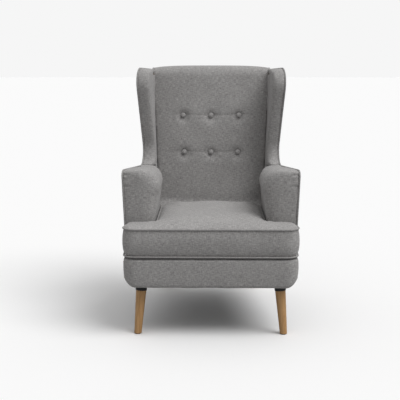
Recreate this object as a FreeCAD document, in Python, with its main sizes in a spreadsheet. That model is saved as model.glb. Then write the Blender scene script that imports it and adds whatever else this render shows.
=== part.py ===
import FreeCAD, Part

# Wingback armchair: timber frame, seat springs, webbed back, padded and covered panels,
# six covered tufting buttons, a loose T-shaped seat cushion and four splayed turned legs.
#
# Frame of reference, in millimetres: +Z up from the floor, the chair faces -Y, and +X is
# to the right as seen from the front. Both sides lie in one flat plane each, which leans
# outward and closes in towards the back; side parts are drawn in that plane.
import math
import os

import Sketcher
from FreeCAD import Placement, Rotation, Vector

SIZES = [
    ("seat_reach", 391, "front edge of the seat cushion, ahead of the origin"),
    ("base_reach", 392, "front face of the base, ahead of the origin"),
    ("arm_reach", 268, "front face of the arms, ahead of the origin"),
    ("back_reach", 320, "outside back at the bottom of the base, behind the origin"),
    ("back_top_reach", 400, "outside back at its top, behind the origin"),
    ("side_front_half", 346, "half width over the sides at the arm fronts, deck height"),
    ("side_rear_half", 262, "half width over the sides at the outside back, deck height"),
    ("side_lean", 2.2, "outward lean of the sides in degrees"),
    ("base_bottom", 197, "underside of the base above the floor"),
    ("deck_top", 322, "top of the platform that the cushion lies on"),
    ("tuck_radius", 48, "rounded lower side edge of the base"),
    ("front_tuck", 16, "rounded lower front edge of the base"),
    ("base_corner", 50, "rounded front corner of the base, in plan"),
    ("fabric", 4, "thickness of an outside panel with its wadding"),
    ("clearance", 0.3, "gap between a soft piece and its neighbour"),
    ("arm_top_front", 649, "top of the arm at its front"),
    ("arm_top_rear", 629, "top of the arm at the root of the wing"),
    ("arm_corner", 26, "rounded top front corner of the arm, seen from the side"),
    ("arm_inner_half", 229, "half width between the arms at the cushion"),
    ("arm_bulge", 15, "how far the arm padding swells inward above the cushion"),
    ("arm_bulge_height", 545, "height of that swell"),
    ("arm_roll", 62, "width of the rounding from the arm top to its inner face"),
    ("arm_front_round", 40, "rounding of the arm front into its inner face"),
    ("wing_root", 158, "foot of the wing's front edge, behind the origin"),
    ("wing_nose", 45, "top front corner of the wing, behind the origin"),
    ("wing_top_front", 1049, "height of the wing's top front corner"),
    ("wing_top_rear", 1036, "height of the outside back's top edge"),
    ("wing_root_radius", 70, "hollow curve from the arm top into the wing"),
    ("wing_nose_radius", 75, "rounded top front corner of the wing"),
    ("wing_rear_radius", 18, "rounded top rear corner of the wing"),
    ("wing_thickness", 50, "padded thickness of the wing at its front edge"),
    ("wing_edge_radius", 20, "rounding of the wing's inner front edge"),
    ("wing_top_ridge", 16, "highest line of the wing's top, inside the side plane"),
    ("wing_top_fall", 18, "fall of the wing's top from there to its inner face"),
    ("wing_seam_start", 34, "where the outside wing panel starts on the arm top"),
    ("wing_seam_rear", 560, "height of that panel's seam at the outside back"),
    ("back_half_bottom", 229, "half width of the back pad at the deck"),
    ("back_half_top", 267, "half width of the back pad at its top"),
    ("back_pad_seat", 148, "front of the back pad behind the cushion"),
    ("back_pad_lumbar", 165, "front of the back pad just above the cushion"),
    ("back_pad_shoulder", 268, "front of the back pad below its top roll"),
    ("back_pad_lumbar_height", 452, "height of the lumbar line"),
    ("back_pad_shoulder_height", 1004, "height of the shoulder line"),
    ("back_pad_crest", 330, "highest line of the back pad, behind the origin"),
    ("back_pad_top", 1055, "top of the back pad"),
    ("back_crown", 20, "crown of the back pad across its width"),
    ("back_belly", 8, "swell of the back pad between lumbar and shoulder"),
    ("button_row_high", 834, "height of the upper button row"),
    ("button_row_low", 670, "height of the lower button row"),
    ("button_pitch_high", 126, "button spacing in the upper row"),
    ("button_pitch_low", 121, "button spacing in the lower row"),
    ("button_diameter", 22, "covered button"),
    ("button_height", 8, "covered button, back to dome"),
    ("dimple_diameter", 62, "dimple round a button"),
    ("dimple_depth", 9, "depth of that dimple"),
    ("tie_diameter", 2, "tufting twine"),
    ("washer_diameter", 20, "washer that anchors the twine behind the webbing"),
    ("washer_thickness", 3, "thickness of that washer"),
    ("cushion_half", 345, "half width of the cushion's ears"),
    ("cushion_rear", 134, "rear edge of the cushion, behind the origin"),
    ("cushion_edge", 430, "height of the cushion's top edge"),
    ("cushion_crown", 32, "rise of the crown above the top edge"),
    ("cushion_swell", 6, "how far the boxing swells between its seams"),
    ("front_corner_share", 0.425, "rounded front corner of an ear, as a share of its depth"),
    ("ear_corner_share", 0.265, "rounded rear corner of an ear, as a share of its depth"),
    ("neck_corner", 14, "inside corner between ear and neck, in plan"),
    ("cushion_rear_corner", 28, "rounded rear corner of the cushion, in plan"),
    ("cover_thickness", 13, "cover and fibre wrap round the foam core"),
    ("piping_diameter", 9, "corded piping"),
    ("piping_depth", 1.5, "middle of the side piping inside the side plane"),
    ("piping_run", 312, "side piping below the arm's top front corner"),
    ("piping_end_share", 0.94, "share of the wing's top edge that the side piping follows"),
    ("zip_length", 400, "zip in the rear boxing"),
    ("zip_width", 20, "width of the zip tape"),
    ("zip_tape", 1.2, "thickness of the zip tape"),
    ("slider_length", 14, "zip slider along the zip"),
    ("slider_width", 9, "zip slider across the zip"),
    ("slider_thickness", 3, "zip slider off the tape"),
    ("pull_length", 20, "pull tab of the slider"),
    ("rail_thickness", 48, "side seat rails"),
    ("rail_bottom", 203.5, "underside of the seat rails"),
    ("rail_top", 297, "top of the seat rails"),
    ("rail_inset", 9, "timber behind the outside fabric"),
    ("rail_chamfer_width", 34, "chamfer under the side rail, across"),
    ("rail_chamfer_height", 24, "chamfer under the side rail, up"),
    ("front_rail_thickness", 34, "front seat rail"),
    ("front_rail_half", 312, "half length of the front seat rail"),
    ("front_rail_chamfer", 22, "chamfer under the ends of the front seat rail, across"),
    ("front_padding", 13, "padding between the front rail and the base front"),
    ("rear_rail_thickness", 35, "rear seat rail"),
    ("post_thickness", 28, "back posts, across"),
    ("post_depth", 45, "back posts, front to back"),
    ("back_inset", 8, "timber behind the outside back fabric"),
    ("top_rail_height", 45, "top rail of the back"),
    ("top_rail_top", 1027, "top of that rail"),
    ("tack_rail_bottom", 345, "lower back rail"),
    ("tack_rail_height", 40, "lower back rail"),
    ("arm_post_front", 16, "arm post behind the arm front"),
    ("arm_post_depth", 60, "arm post, front to back"),
    ("arm_rail_thickness", 20, "arm timbers, across"),
    ("arm_rail_height", 36, "arm top rail"),
    ("arm_rail_cover", 14, "padding over the arm top rail"),
    ("arm_tack_bottom", 332, "lower arm rail"),
    ("arm_tack_height", 30, "lower arm rail"),
    ("wing_board", 18, "plywood wing board"),
    ("wing_board_cover", 24, "padding round the wing board's edge"),
    ("wing_board_radius", 45, "rounded corner of the wing board"),
    ("block_length", 70, "corner block along a rail"),
    ("block_height", 44, "corner block"),
    ("strap_width", 60, "back webbing strap"),
    ("strap_thickness", 2, "back webbing strap"),
    ("strap_count", 7, "back webbing straps"),
    ("strap_spacing", 82, "spacing of the back webbing straps"),
    ("spring_count", 5, "sinuous springs"),
    ("spring_spacing", 90, "spacing of the springs"),
    ("spring_width", 46, "width of a spring's loops"),
    ("spring_loops", 15, "loops of a spring"),
    ("spring_wire", 3.8, "spring wire"),
    ("clip_length", 24, "spring clip along the spring"),
    ("clip_width", 26, "spring clip across the spring"),
    ("clip_sheet", 1.2, "sheet steel of a clip"),
    ("deck_front", 300, "front edge of the platform pad, ahead of the origin"),
    ("deck_rear", 252, "rear edge of the platform pad, behind the origin"),
    ("deck_cloth", 3, "platform cloth"),
    ("dust_cloth", 1.5, "dust cover under the base"),
    ("front_leg_x", 276, "front leg at the rails, from the middle"),
    ("front_leg_inset", 67, "front leg at the rails, behind the base front"),
    ("front_foot_x", 292, "front foot on the floor, from the middle"),
    ("front_foot_splay", 22, "front foot ahead of the leg's top"),
    ("rear_leg_x", 186, "rear leg at the rails, from the middle"),
    ("rear_leg_inset", 32, "rear leg at the rails, ahead of the outside back's foot"),
    ("rear_foot_x", 200, "rear foot on the floor, from the middle"),
    ("rear_foot_splay", 72, "rear foot behind the leg's top"),
    ("leg_top_diameter", 43, "leg at its top"),
    ("leg_foot_diameter", 29, "leg at its foot"),
    ("leg_edge", 1.5, "eased edge round the leg's top"),
    ("socket_height", 15, "leg socket along the leg"),
    ("glide_diameter", 22, "glide under the foot"),
    ("glide_height", 3, "glide under the foot"),
    ("bolt_diameter", 8, "hanger bolt"),
    ("bolt_in_leg", 42, "hanger bolt inside the leg"),
    ("bolt_in_frame", 28, "hanger bolt inside the frame"),
]

SIDES = {"right": 1, "left": -1}
UP = Vector(0, 0, 1)
FAR = 2000
S = "Sizes."

doc = FreeCAD.newDocument("WingbackArmchair")
sheet = doc.addObject("Spreadsheet::Sheet", "Sizes")
for row, (alias, value, note) in enumerate(SIZES, start=1):
    sheet.set(f"A{row}", alias)
    sheet.set(f"B{row}", str(value))
    sheet.setAlias(f"B{row}", alias)
    sheet.set(f"C{row}", note)
doc.recompute()

parts = {}


def size(alias):
    """A driving dimension from the sheet."""
    return float(sheet.get(alias))


# The planes that everything is set out from.

taper = math.atan2(
    size("side_front_half") - size("side_rear_half"), size("arm_reach") + size("back_reach")
)
lean = math.radians(size("side_lean"))
back_slope = (size("back_top_reach") - size("back_reach")) / (
    size("wing_top_rear") - size("base_bottom")
)
back_lean = math.atan(back_slope)
arm_slope = (size("arm_top_rear") - size("arm_top_front")) / (size("arm_reach") + size("wing_root"))
pad_slope = (size("back_half_top") - size("back_half_bottom")) / (
    size("back_pad_top") - size("deck_top")
)
piping_radius = size("piping_diameter") / 2
soft_gap = size("clearance")
hair = 0.02  # parts that lie face to face


def outside_back(z):
    """Y of the outside back at a height."""
    return size("back_reach") + (z - size("base_bottom")) * back_slope


def outside_half(y, z):
    """Half width over the side plane at a place."""
    rise = (z - size("deck_top")) * math.tan(lean) / math.cos(taper)
    return size("side_front_half") + rise - (y + size("arm_reach")) * math.tan(taper)


def inside_half(y, z, depth):
    """Half width to a surface that lies this deep inside the side plane."""
    return outside_half(y, z) - depth / (math.cos(taper) * math.cos(lean))


def inside_back(z, depth):
    """Y of a surface that lies this deep inside the outside back plane."""
    return outside_back(z) - depth / math.cos(back_lean)


def arm_top(y):
    """Height of the arm's top line."""
    return size("arm_top_front") + (y + size("arm_reach")) * arm_slope


def pad_half(z):
    """Half width of the back pad, which is also the inner face of the wings behind its front."""
    return size("back_half_bottom") + (z - size("deck_top")) * pad_slope


def side_frame(side):
    """Placement of a side plane: X along the side, Y up it, Z along its normal."""
    outward = Vector(side * math.cos(taper), math.sin(taper), 0)
    along = Vector(-side * math.sin(taper), math.cos(taper), 0)
    up_plane = outward * math.sin(lean) + UP * math.cos(lean)
    origin = Vector(side * size("side_front_half"), -size("arm_reach"), size("deck_top"))
    return Placement(origin, Rotation(along, up_plane, along.cross(up_plane)))


def on_side(y, z):
    """Coordinates in a side plane of the point at this depth and height."""
    up_plane = (z - size("deck_top")) / math.cos(lean)
    along = (y + size("arm_reach") - up_plane * math.sin(lean) * math.sin(taper)) / math.cos(taper)
    return Vector(along, up_plane, 0)


def back_frame():
    """Placement of the outside back plane: X across, Y up it, Z forward into the chair."""
    turn = Rotation(Vector(1, 0, 0), math.degrees(math.pi / 2 - back_lean))
    return Placement(Vector(0, size("back_reach"), size("base_bottom")), turn)


def up_back(z):
    """Distance up the outside back plane to a height."""
    return (z - size("base_bottom")) / math.cos(back_lean)


# Outlines.


def rounded_edges(points, radii, closed=True):
    """Lines and tangent arcs along a polygon whose corners are rounded."""
    count = len(points)
    starts, ends, arcs = [], [], []
    for k, point in enumerate(points):
        radius = radii[k]
        inner = closed or 0 < k < count - 1
        if not inner or radius <= 0:
            starts.append(point)
            ends.append(point)
            arcs.append(None)
            continue
        before = (points[k - 1] - point).normalize()
        after = (points[(k + 1) % count] - point).normalize()
        half = before.getAngle(after) / 2
        middle = (before + after).normalize()
        starts.append(point + before * (radius / math.tan(half)))
        ends.append(point + after * (radius / math.tan(half)))
        crest = point + middle * (radius / math.sin(half) - radius)
        arcs.append(Part.Arc(starts[-1], crest, ends[-1]).toShape())
    edges = []
    for k in range(count):
        if arcs[k]:
            edges.append(arcs[k])
        if closed or k < count - 1:
            run = starts[(k + 1) % count] - ends[k]
            if run.Length > 1e-6:
                edges.append(Part.makeLine(ends[k], starts[(k + 1) % count]))
    return edges


def grown(points, amounts):
    """A polygon whose edges are moved outward, each by its own amount."""
    count = len(points)
    area = sum(points[k - 1].x * points[k].y - points[k].x * points[k - 1].y for k in range(count))
    turn = 1 if area > 0 else -1
    lines = []
    for k, point in enumerate(points):
        way = (points[(k + 1) % count] - point).normalize()
        outward = Vector(way.y * turn, -way.x * turn, 0)
        lines.append((point + outward * amounts[k], way))
    moved = []
    for k, (point, way) in enumerate(lines):
        before, heading = lines[k - 1]
        step = (point - before).cross(way).z / heading.cross(way).z
        moved.append(before + heading * step)
    return moved


def rounded_wire(points, radii, closed=True):
    return Part.Wire(rounded_edges(points, radii, closed))


def side_outline(growth=0.0):
    """Outline of a whole side, seen from the side, grown at the arm and wing."""
    foot = size("base_bottom")
    crown = size("wing_top_rear")
    front = -size("arm_reach")
    points = [
        on_side(front, foot),
        on_side(front, arm_top(front)),
        on_side(size("wing_root"), arm_top(size("wing_root"))),
        on_side(size("wing_nose"), size("wing_top_front")),
        on_side(inside_back(crown, size("fabric") + hair), crown),
        on_side(inside_back(foot, size("fabric") + hair), foot),
    ]
    radii = [
        0,
        size("arm_corner") + growth,
        size("wing_root_radius") - growth,
        size("wing_nose_radius") + growth,
        size("wing_rear_radius") + growth,
        0,
    ]
    return grown(points, [growth] * 4 + [0, 0]), radii


# Makers of sub-parts.


def register(label, obj):
    obj.Label = label
    parts[label] = obj
    return obj


def origin_plane(body, role):
    return [plane for plane in body.Origin.OriginFeatures if plane.Role == role][0]


def new_sketch(body, role):
    sketch = body.newObject("Sketcher::SketchObject", "outline")
    sketch.AttachmentSupport = [(origin_plane(body, role), "")]
    sketch.MapMode = "FlatFace"
    return sketch


def driven_polygon(sketch, corners):
    """A closed polygon whose corner coordinates are expressions of the sheet."""
    count = len(corners)
    start = [
        Vector(math.cos(math.tau * k / count), math.sin(math.tau * k / count), 0)
        for k in range(count)
    ]
    for k in range(count):
        sketch.addGeometry(Part.LineSegment(start[k], start[(k + 1) % count]), False)
    for k in range(count):
        sketch.addConstraint(Sketcher.Constraint("Coincident", k, 2, (k + 1) % count, 1))
    for k, corner in enumerate(corners):
        for kind, expression in zip(("DistanceX", "DistanceY"), corner):
            datum = start[k].x if kind == "DistanceX" else start[k].y
            index = sketch.addConstraint(Sketcher.Constraint(kind, -1, 1, k, 1, datum + 0.01))
            sketch.setExpression(f"Constraints[{index}]", expression)


def block(label, role, corners, start, depth, frame=Placement()):
    """A body padded from a driven polygon, from an offset along its plane's normal."""
    body = doc.addObject("PartDesign::Body", label)
    sketch = new_sketch(body, role)
    driven_polygon(sketch, corners)
    sketch.setExpression("AttachmentOffset.Base.z", start)
    pad = body.newObject("PartDesign::Pad", "pad")
    pad.Profile = sketch
    pad.setExpression("Length", depth)
    body.Placement = frame
    return body


def side_plate(label, side, points, radii, near, depth, rounding=0.0):
    """A body drawn in a side plane and padded inward; its inner front edges may be rounded."""
    body = doc.addObject("PartDesign::Body", label)
    sketch = new_sketch(body, "XY_Plane")
    for edge in rounded_edges(points, radii):
        start, end = (edge.valueAt(edge.FirstParameter), edge.valueAt(edge.LastParameter))
        if isinstance(edge.Curve, Part.Line):
            sketch.addGeometry(Part.LineSegment(start, end), False)
            continue
        middle = edge.valueAt((edge.FirstParameter + edge.LastParameter) / 2)
        if (middle - start).cross(end - middle).z < 0:
            start, end = end, start
        sketch.addGeometry(Part.Arc(start, middle, end), False)
    sketch.setExpression("AttachmentOffset.Base.z", f"{-side} * ({near})")
    pad = body.newObject("PartDesign::Pad", "pad")
    pad.Profile = sketch
    pad.setExpression("Length", depth)
    pad.Reversed = side > 0
    body.Placement = side_frame(side)
    if rounding:
        doc.recompute()
        far = pad.Shape.BoundBox.ZMin if side > 0 else pad.Shape.BoundBox.ZMax
        names = []
        for index, edge in enumerate(pad.Shape.Edges, start=1):
            box = edge.BoundBox
            flat = abs(box.ZMin - far) < 0.01 and abs(box.ZMax - far) < 0.01
            front = edge.CenterOfMass.x < pad.Shape.BoundBox.XMax - size("post_depth")
            if flat and front and box.YMax > pad.Shape.BoundBox.YMin + rounding:
                names.append(f"Edge{index}")
        fillet = body.newObject("PartDesign::Fillet", "rounding")
        fillet.Base = (pad, names)
        fillet.Radius = rounding
    return body


def feature(label, shape):
    """A piece whose form only Part's own functions make."""
    obj = doc.addObject("Part::Feature", label)
    obj.Shape = shape
    obj.Placement = shape.Placement
    return obj


def cut(label, base, tools):
    """A piece with its neighbours' room taken out of it."""
    group = doc.addObject("Part::Compound", label + "_room")
    group.Links = tools
    result = doc.addObject("Part::Cut", label)
    result.Base = base
    result.Tool = group
    return result


def world_box(label, low, high):
    """A plain box between two corners, used to trim other pieces."""
    box = doc.addObject("Part::Box", label)
    box.Length, box.Width, box.Height = high - low
    box.Placement = Placement(low, Rotation())
    return box


def behind_posts():
    """The zone behind the front faces of the back posts."""
    box = doc.addObject("Part::Box", "behind_posts")
    box.Length = 2 * FAR
    box.Width = 2 * FAR
    box.setExpression("Height", f"{S}back_inset + {S}post_depth + {FAR / 2}")
    box.Placement = back_frame().multiply(Placement(Vector(-FAR, -FAR, -FAR / 2), Rotation()))
    return box


def loft(wires, ruled=True):
    return Part.makeLoft(wires, True, ruled)


def tube(path, diameter):
    """A round cord along a wire of lines and tangent arcs."""
    first = path.Edges[0]
    start = first.valueAt(first.FirstParameter)
    heading = first.tangentAt(first.FirstParameter)
    ring = Part.Wire([Part.makeCircle(diameter / 2, start, heading)])
    swept = path.makePipeShell([ring], True, False)
    return swept.Solids[0] if swept.Solids else swept


# Seat frame.


def side_section(label, side, corners, start, length):
    """A bar along a side plane whose section is given as heights and depths inside it."""
    body = doc.addObject("PartDesign::Body", label)
    sketch = new_sketch(body, "YZ_Plane")
    points = [
        Vector((z - size("deck_top")) / math.cos(lean), -side * depth, 0) for z, depth in corners
    ]
    for k, point in enumerate(points):
        sketch.addGeometry(Part.LineSegment(point, points[(k + 1) % len(points)]), False)
    sketch.AttachmentOffset = Placement(Vector(0, 0, start), Rotation())
    pad = body.newObject("PartDesign::Pad", "pad")
    pad.Profile = sketch
    pad.Length = length
    body.Placement = side_frame(side)
    return body


def tuck_wedges():
    """Rooms along the lower edges of the sides, where the timbers clear the rounded base."""
    low = size("rail_bottom")
    outer = size("rail_inset")
    section = [
        (low + size("rail_chamfer_height"), outer),
        (low, outer + size("rail_chamfer_width")),
        (low - outer, outer + size("rail_chamfer_width")),
        (low - outer, 0),
        (low + size("rail_chamfer_height"), 0),
    ]
    return {
        name: side_section(f"tuck_wedge_{name}", side, section, 0, FAR)
        for name, side in SIDES.items()
    }


def side_rails():
    """Side seat rails, chamfered below so that the base can round under."""
    front = -size("base_reach") + size("front_padding") + size("front_rail_thickness")
    ahead = world_box("ahead_of_rails", Vector(-FAR, -FAR, -FAR), Vector(FAR, front, FAR))
    low, high = size("rail_bottom"), size("rail_top")
    outer = size("rail_inset")
    inner = outer + size("rail_thickness")
    section = [
        (high, outer),
        (high, inner),
        (low, inner),
        (low, outer + size("rail_chamfer_width")),
        (low + size("rail_chamfer_height"), outer),
    ]
    start = on_side(front, low).x - size("rail_thickness")
    length = on_side(outside_back(high), high).x - start
    for name, side in SIDES.items():
        body = side_section(f"side_rail_blank_{name}", side, section, start, length)
        rail = cut(f"side_rail_{name}", body, [ahead, post_zone])
        register(f"side_rail_{name}", rail)


def cross_rails():
    """Front and rear seat rails."""
    low, high = f"{S}rail_bottom", f"{S}rail_top"
    edge = f"{S}rail_bottom + {S}rail_chamfer_height"
    foot = f"({S}front_rail_half - {S}front_rail_chamfer)"
    half = f"{S}front_rail_half"
    rail = block(
        "front_rail",
        "XZ_Plane",
        [
            (f"-{foot}", low),
            (foot, low),
            (half, edge),
            (half, high),
            (f"-{half}", high),
            (f"-{half}", edge),
        ],
        f"{S}base_reach - {S}front_padding - {S}front_rail_thickness",
        f"{S}front_rail_thickness",
    )
    register("front_rail", rail)
    low = size("rail_bottom")
    rear = inside_back(low, size("back_inset"))
    reach = [
        inside_half(y, low, size("rail_inset") + size("post_thickness")) - hair
        for y in (rear - size("rear_rail_thickness"), rear)
    ]
    rail = doc.addObject("PartDesign::Body", "rear_rail")
    sketch = new_sketch(rail, "XY_Plane")
    points = [
        Vector(-reach[0], rear - size("rear_rail_thickness"), 0),
        Vector(reach[0], rear - size("rear_rail_thickness"), 0),
        Vector(reach[1], rear, 0),
        Vector(-reach[1], rear, 0),
    ]
    for k, point in enumerate(points):
        sketch.addGeometry(Part.LineSegment(point, points[(k + 1) % len(points)]), False)
    sketch.setExpression("AttachmentOffset.Base.z", f"{S}rail_bottom")
    pad = rail.newObject("PartDesign::Pad", "pad")
    pad.Profile = sketch
    pad.setExpression("Length", f"{S}rail_top - {S}rail_bottom")
    return rail


def leg_line(name, side):
    """Foot on the floor and top at the rails of a leg, and the way up along it."""
    sign = -1 if name == "front" else 1
    edge = size("base_reach") if name == "front" else size("back_reach")
    reach = edge - size(f"{name}_leg_inset")
    top = Vector(side * size(f"{name}_leg_x"), sign * reach, size("rail_bottom"))
    reach += size(f"{name}_foot_splay")
    foot = Vector(side * size(f"{name}_foot_x"), sign * reach, 0)
    return foot, top, (top - foot).normalize()


def legs():
    """Turned legs with sockets, hanger bolts and glides."""
    bolts = []
    for name in ("front", "rear"):
        for side_name, side in SIDES.items():
            foot, top, way = leg_line(name, side)
            turn = Rotation(UP, way)
            label = f"{name}_{side_name}"
            radius = size("leg_top_diameter") / 2
            shoulder = top - way * size("socket_height")

            bolt = doc.addObject("Part::Cylinder", f"bolt_{label}")
            bolt.setExpression("Radius", f"{S}bolt_diameter / 2")
            bolt.setExpression("Height", f"{S}bolt_in_leg + {S}socket_height + {S}bolt_in_frame")
            bolt.Placement = Placement(shoulder - way * size("bolt_in_leg"), turn)
            bolts.append(bolt)

            cone = doc.addObject("Part::Cone", f"turning_{label}")
            reach = size("leg_top_diameter")
            grow = (size("leg_top_diameter") - size("leg_foot_diameter")) / 2 / (shoulder - foot).Length
            cone.Radius1 = size("leg_foot_diameter") / 2 - grow * reach
            cone.Radius2 = radius
            cone.Height = (shoulder - foot).Length + reach
            cone.Placement = Placement(foot - way * reach, turn)
            eased = doc.addObject("Part::Chamfer", f"eased_{label}")
            eased.Base = cone
            doc.recompute()
            rims = [k for k, edge in enumerate(cone.Shape.Edges) if len(edge.Vertexes) == 1]
            upper = max(rims, key=lambda k: cone.Shape.Edges[k].CenterOfMass.z)
            eased.Edges = [(upper + 1, size("leg_edge"), size("leg_edge"))]

            floor = doc.addObject("Part::Cylinder", f"floor_{label}")
            floor.Radius = 3 * size("leg_top_diameter")
            floor.Height = 3 * size("leg_top_diameter")
            floor.Placement = Placement(
                Vector(foot.x, foot.y, size("glide_height") - 3 * size("leg_top_diameter")), Rotation()
            )
            leg = cut(f"leg_{label}", eased, [floor, bolt])
            register(f"leg_{label}", leg)

            collar = doc.addObject("Part::Cylinder", f"collar_{label}")
            collar.setExpression("Radius", f"{S}leg_top_diameter / 2")
            collar.setExpression("Height", f"{S}socket_height * 3")
            collar.Placement = Placement(shoulder, turn)
            above = doc.addObject("Part::Cylinder", f"above_{label}")
            above.Radius = 3 * size("leg_top_diameter")
            above.Height = 3 * size("leg_top_diameter")
            above.Placement = Placement(top, Rotation())
            register(f"leg_socket_{label}", cut(f"leg_socket_{label}", collar, [above, bolt]))

            glide = doc.addObject("Part::Cylinder", f"glide_{label}")
            glide.setExpression("Radius", f"{S}glide_diameter / 2")
            glide.setExpression("Height", f"{S}glide_height")
            glide.Placement = Placement(foot, Rotation())
            register(f"glide_{label}", glide)
    group = doc.addObject("Part::Compound", "hanger_bolts")
    group.Links = bolts
    register("hanger_bolts", group)
    return group


def corner_blocks(bolts):
    """Glued blocks inside the four corners of the seat frame, which the legs bolt into."""
    low = size("rail_bottom")
    front = -size("base_reach") + size("front_padding") + size("front_rail_thickness")
    rear = inside_back(low, size("back_inset")) - size("rear_rail_thickness")
    inner = size("rail_inset") + size("rail_thickness")
    run = size("block_length")
    corners = []
    for side in SIDES.values():
        for near, far in ((front, front + run), (rear - run, rear)):
            edge_near = inside_half(near, low, inner) - soft_gap
            edge_far = inside_half(far, low, inner) - soft_gap
            points = [
                Vector(side * edge_near, near, low),
                Vector(side * edge_far, far, low),
                Vector(side * (edge_far - run), far, low),
                Vector(side * (edge_near - run), near, low),
            ]
            face = Part.Face(Part.makePolygon(points + points[:1]))
            corners.append(face.extrude(UP * size("block_height")))
    blanks = feature("corner_block_blanks", Part.Compound(corners))
    register("corner_blocks", cut("corner_blocks", blanks, [bolts]))


# Back, arm and wing timbers.


def back_timbers(bolts):
    """Back posts, top rail and lower rail."""
    low, high = size("rail_bottom"), size("top_rail_top")
    slab = doc.addObject("Part::Box", "post_slab")
    slab.Length = 2 * FAR
    slab.Width = 2 * FAR
    slab.setExpression("Height", f"{S}post_depth")
    slab.Placement = back_frame().multiply(
        Placement(Vector(-FAR, -FAR, size("back_inset")), Rotation())
    )
    spare = size("post_depth")
    ends = {}
    for name, side in SIDES.items():
        points = [
            on_side(outside_back(low) - 3 * spare, low),
            on_side(outside_back(low) + spare, low),
            on_side(outside_back(high) + spare, high),
            on_side(outside_back(high) - 3 * spare, high),
        ]
        blank = side_plate(
            f"post_blank_{name}", side, points, [0] * 4, f"{S}rail_inset", f"{S}post_thickness"
        )
        post = doc.addObject("Part::Common", f"post_slice_{name}")
        post.Base = blank
        post.Tool = slab
        post = cut(f"back_post_{name}", post, [wedges[name], bolts])
        register(f"back_post_{name}", post)
        ends[name] = side_plate(
            f"post_end_{name}",
            side,
            [Vector(x, y, 0) for x, y in ((-FAR, -FAR), (FAR, -FAR), (FAR, FAR), (-FAR, FAR))],
            [0] * 4,
            f"{-FAR}",
            f"{FAR} + {S}rail_inset + {S}post_thickness + {hair}",
        )
    rise = f"/ {math.cos(back_lean)}"
    rails = (
        ("back_top_rail", f"{S}top_rail_top - {S}top_rail_height", f"{S}top_rail_height"),
        ("back_lower_rail", f"{S}tack_rail_bottom", f"{S}tack_rail_height"),
    )
    for label, bottom, height in rails:
        lower = f"({bottom} - {S}base_bottom) {rise}"
        upper = f"({bottom} + {height} - {S}base_bottom) {rise}"
        half = f"{S}side_front_half"
        blank = block(
            f"{label}_blank",
            "XY_Plane",
            [(f"-{half}", lower), (half, lower), (half, upper), (f"-{half}", upper)],
            f"{S}back_inset",
            f"{S}post_depth",
            back_frame(),
        )
        register(label, cut(label, blank, list(ends.values())))


def arm_and_wing_timbers():
    """Arm posts, arm rails and plywood wing boards, in the side planes."""
    post_front = -size("arm_reach") + size("arm_post_front")
    post_rear = post_front + size("arm_post_depth")
    cover = size("arm_rail_cover")
    under = cover + size("arm_rail_height")
    beyond = size("back_top_reach")

    def below_top(y, drop):
        return on_side(y, arm_top(y) - drop)

    low = size("arm_tack_bottom")
    high = low + size("arm_tack_height")
    inset = size("wing_board_cover")
    root = size("wing_root") + inset
    outlines = {
        "arm_post": [
            on_side(post_front, size("rail_top")),
            on_side(post_rear, size("rail_top")),
            below_top(post_rear, under),
            below_top(post_front, under),
        ],
        "arm_rail": [
            below_top(post_front, under),
            below_top(beyond, under),
            below_top(beyond, cover),
            below_top(post_front, cover),
        ],
        "arm_lower_rail": [
            on_side(post_rear, low),
            on_side(beyond, low),
            on_side(beyond, high),
            on_side(post_rear, high),
        ],
        "wing_board": [
            below_top(root, cover),
            below_top(beyond, cover),
            on_side(beyond, size("top_rail_top")),
            on_side(size("wing_nose") + inset, size("top_rail_top")),
        ],
    }
    corners = {
        "arm_rail": [0, 0, 0, size("arm_corner") / 2],
        "wing_board": [0, 0, 0, size("wing_board_radius")],
    }
    for name, side in SIDES.items():
        for timber, points in outlines.items():
            thick = f"{S}wing_board" if timber == "wing_board" else f"{S}arm_rail_thickness"
            blank = side_plate(
                f"{timber}_blank_{name}",
                side,
                points,
                corners.get(timber, [0] * 4),
                f"{S}rail_inset",
                thick,
            )
            tools = [parts[f"side_rail_{name}"]] if timber == "arm_post" else [post_zone]
            register(f"{timber}_{name}", cut(f"{timber}_{name}", blank, tools))


# Springing and webbing.


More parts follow.
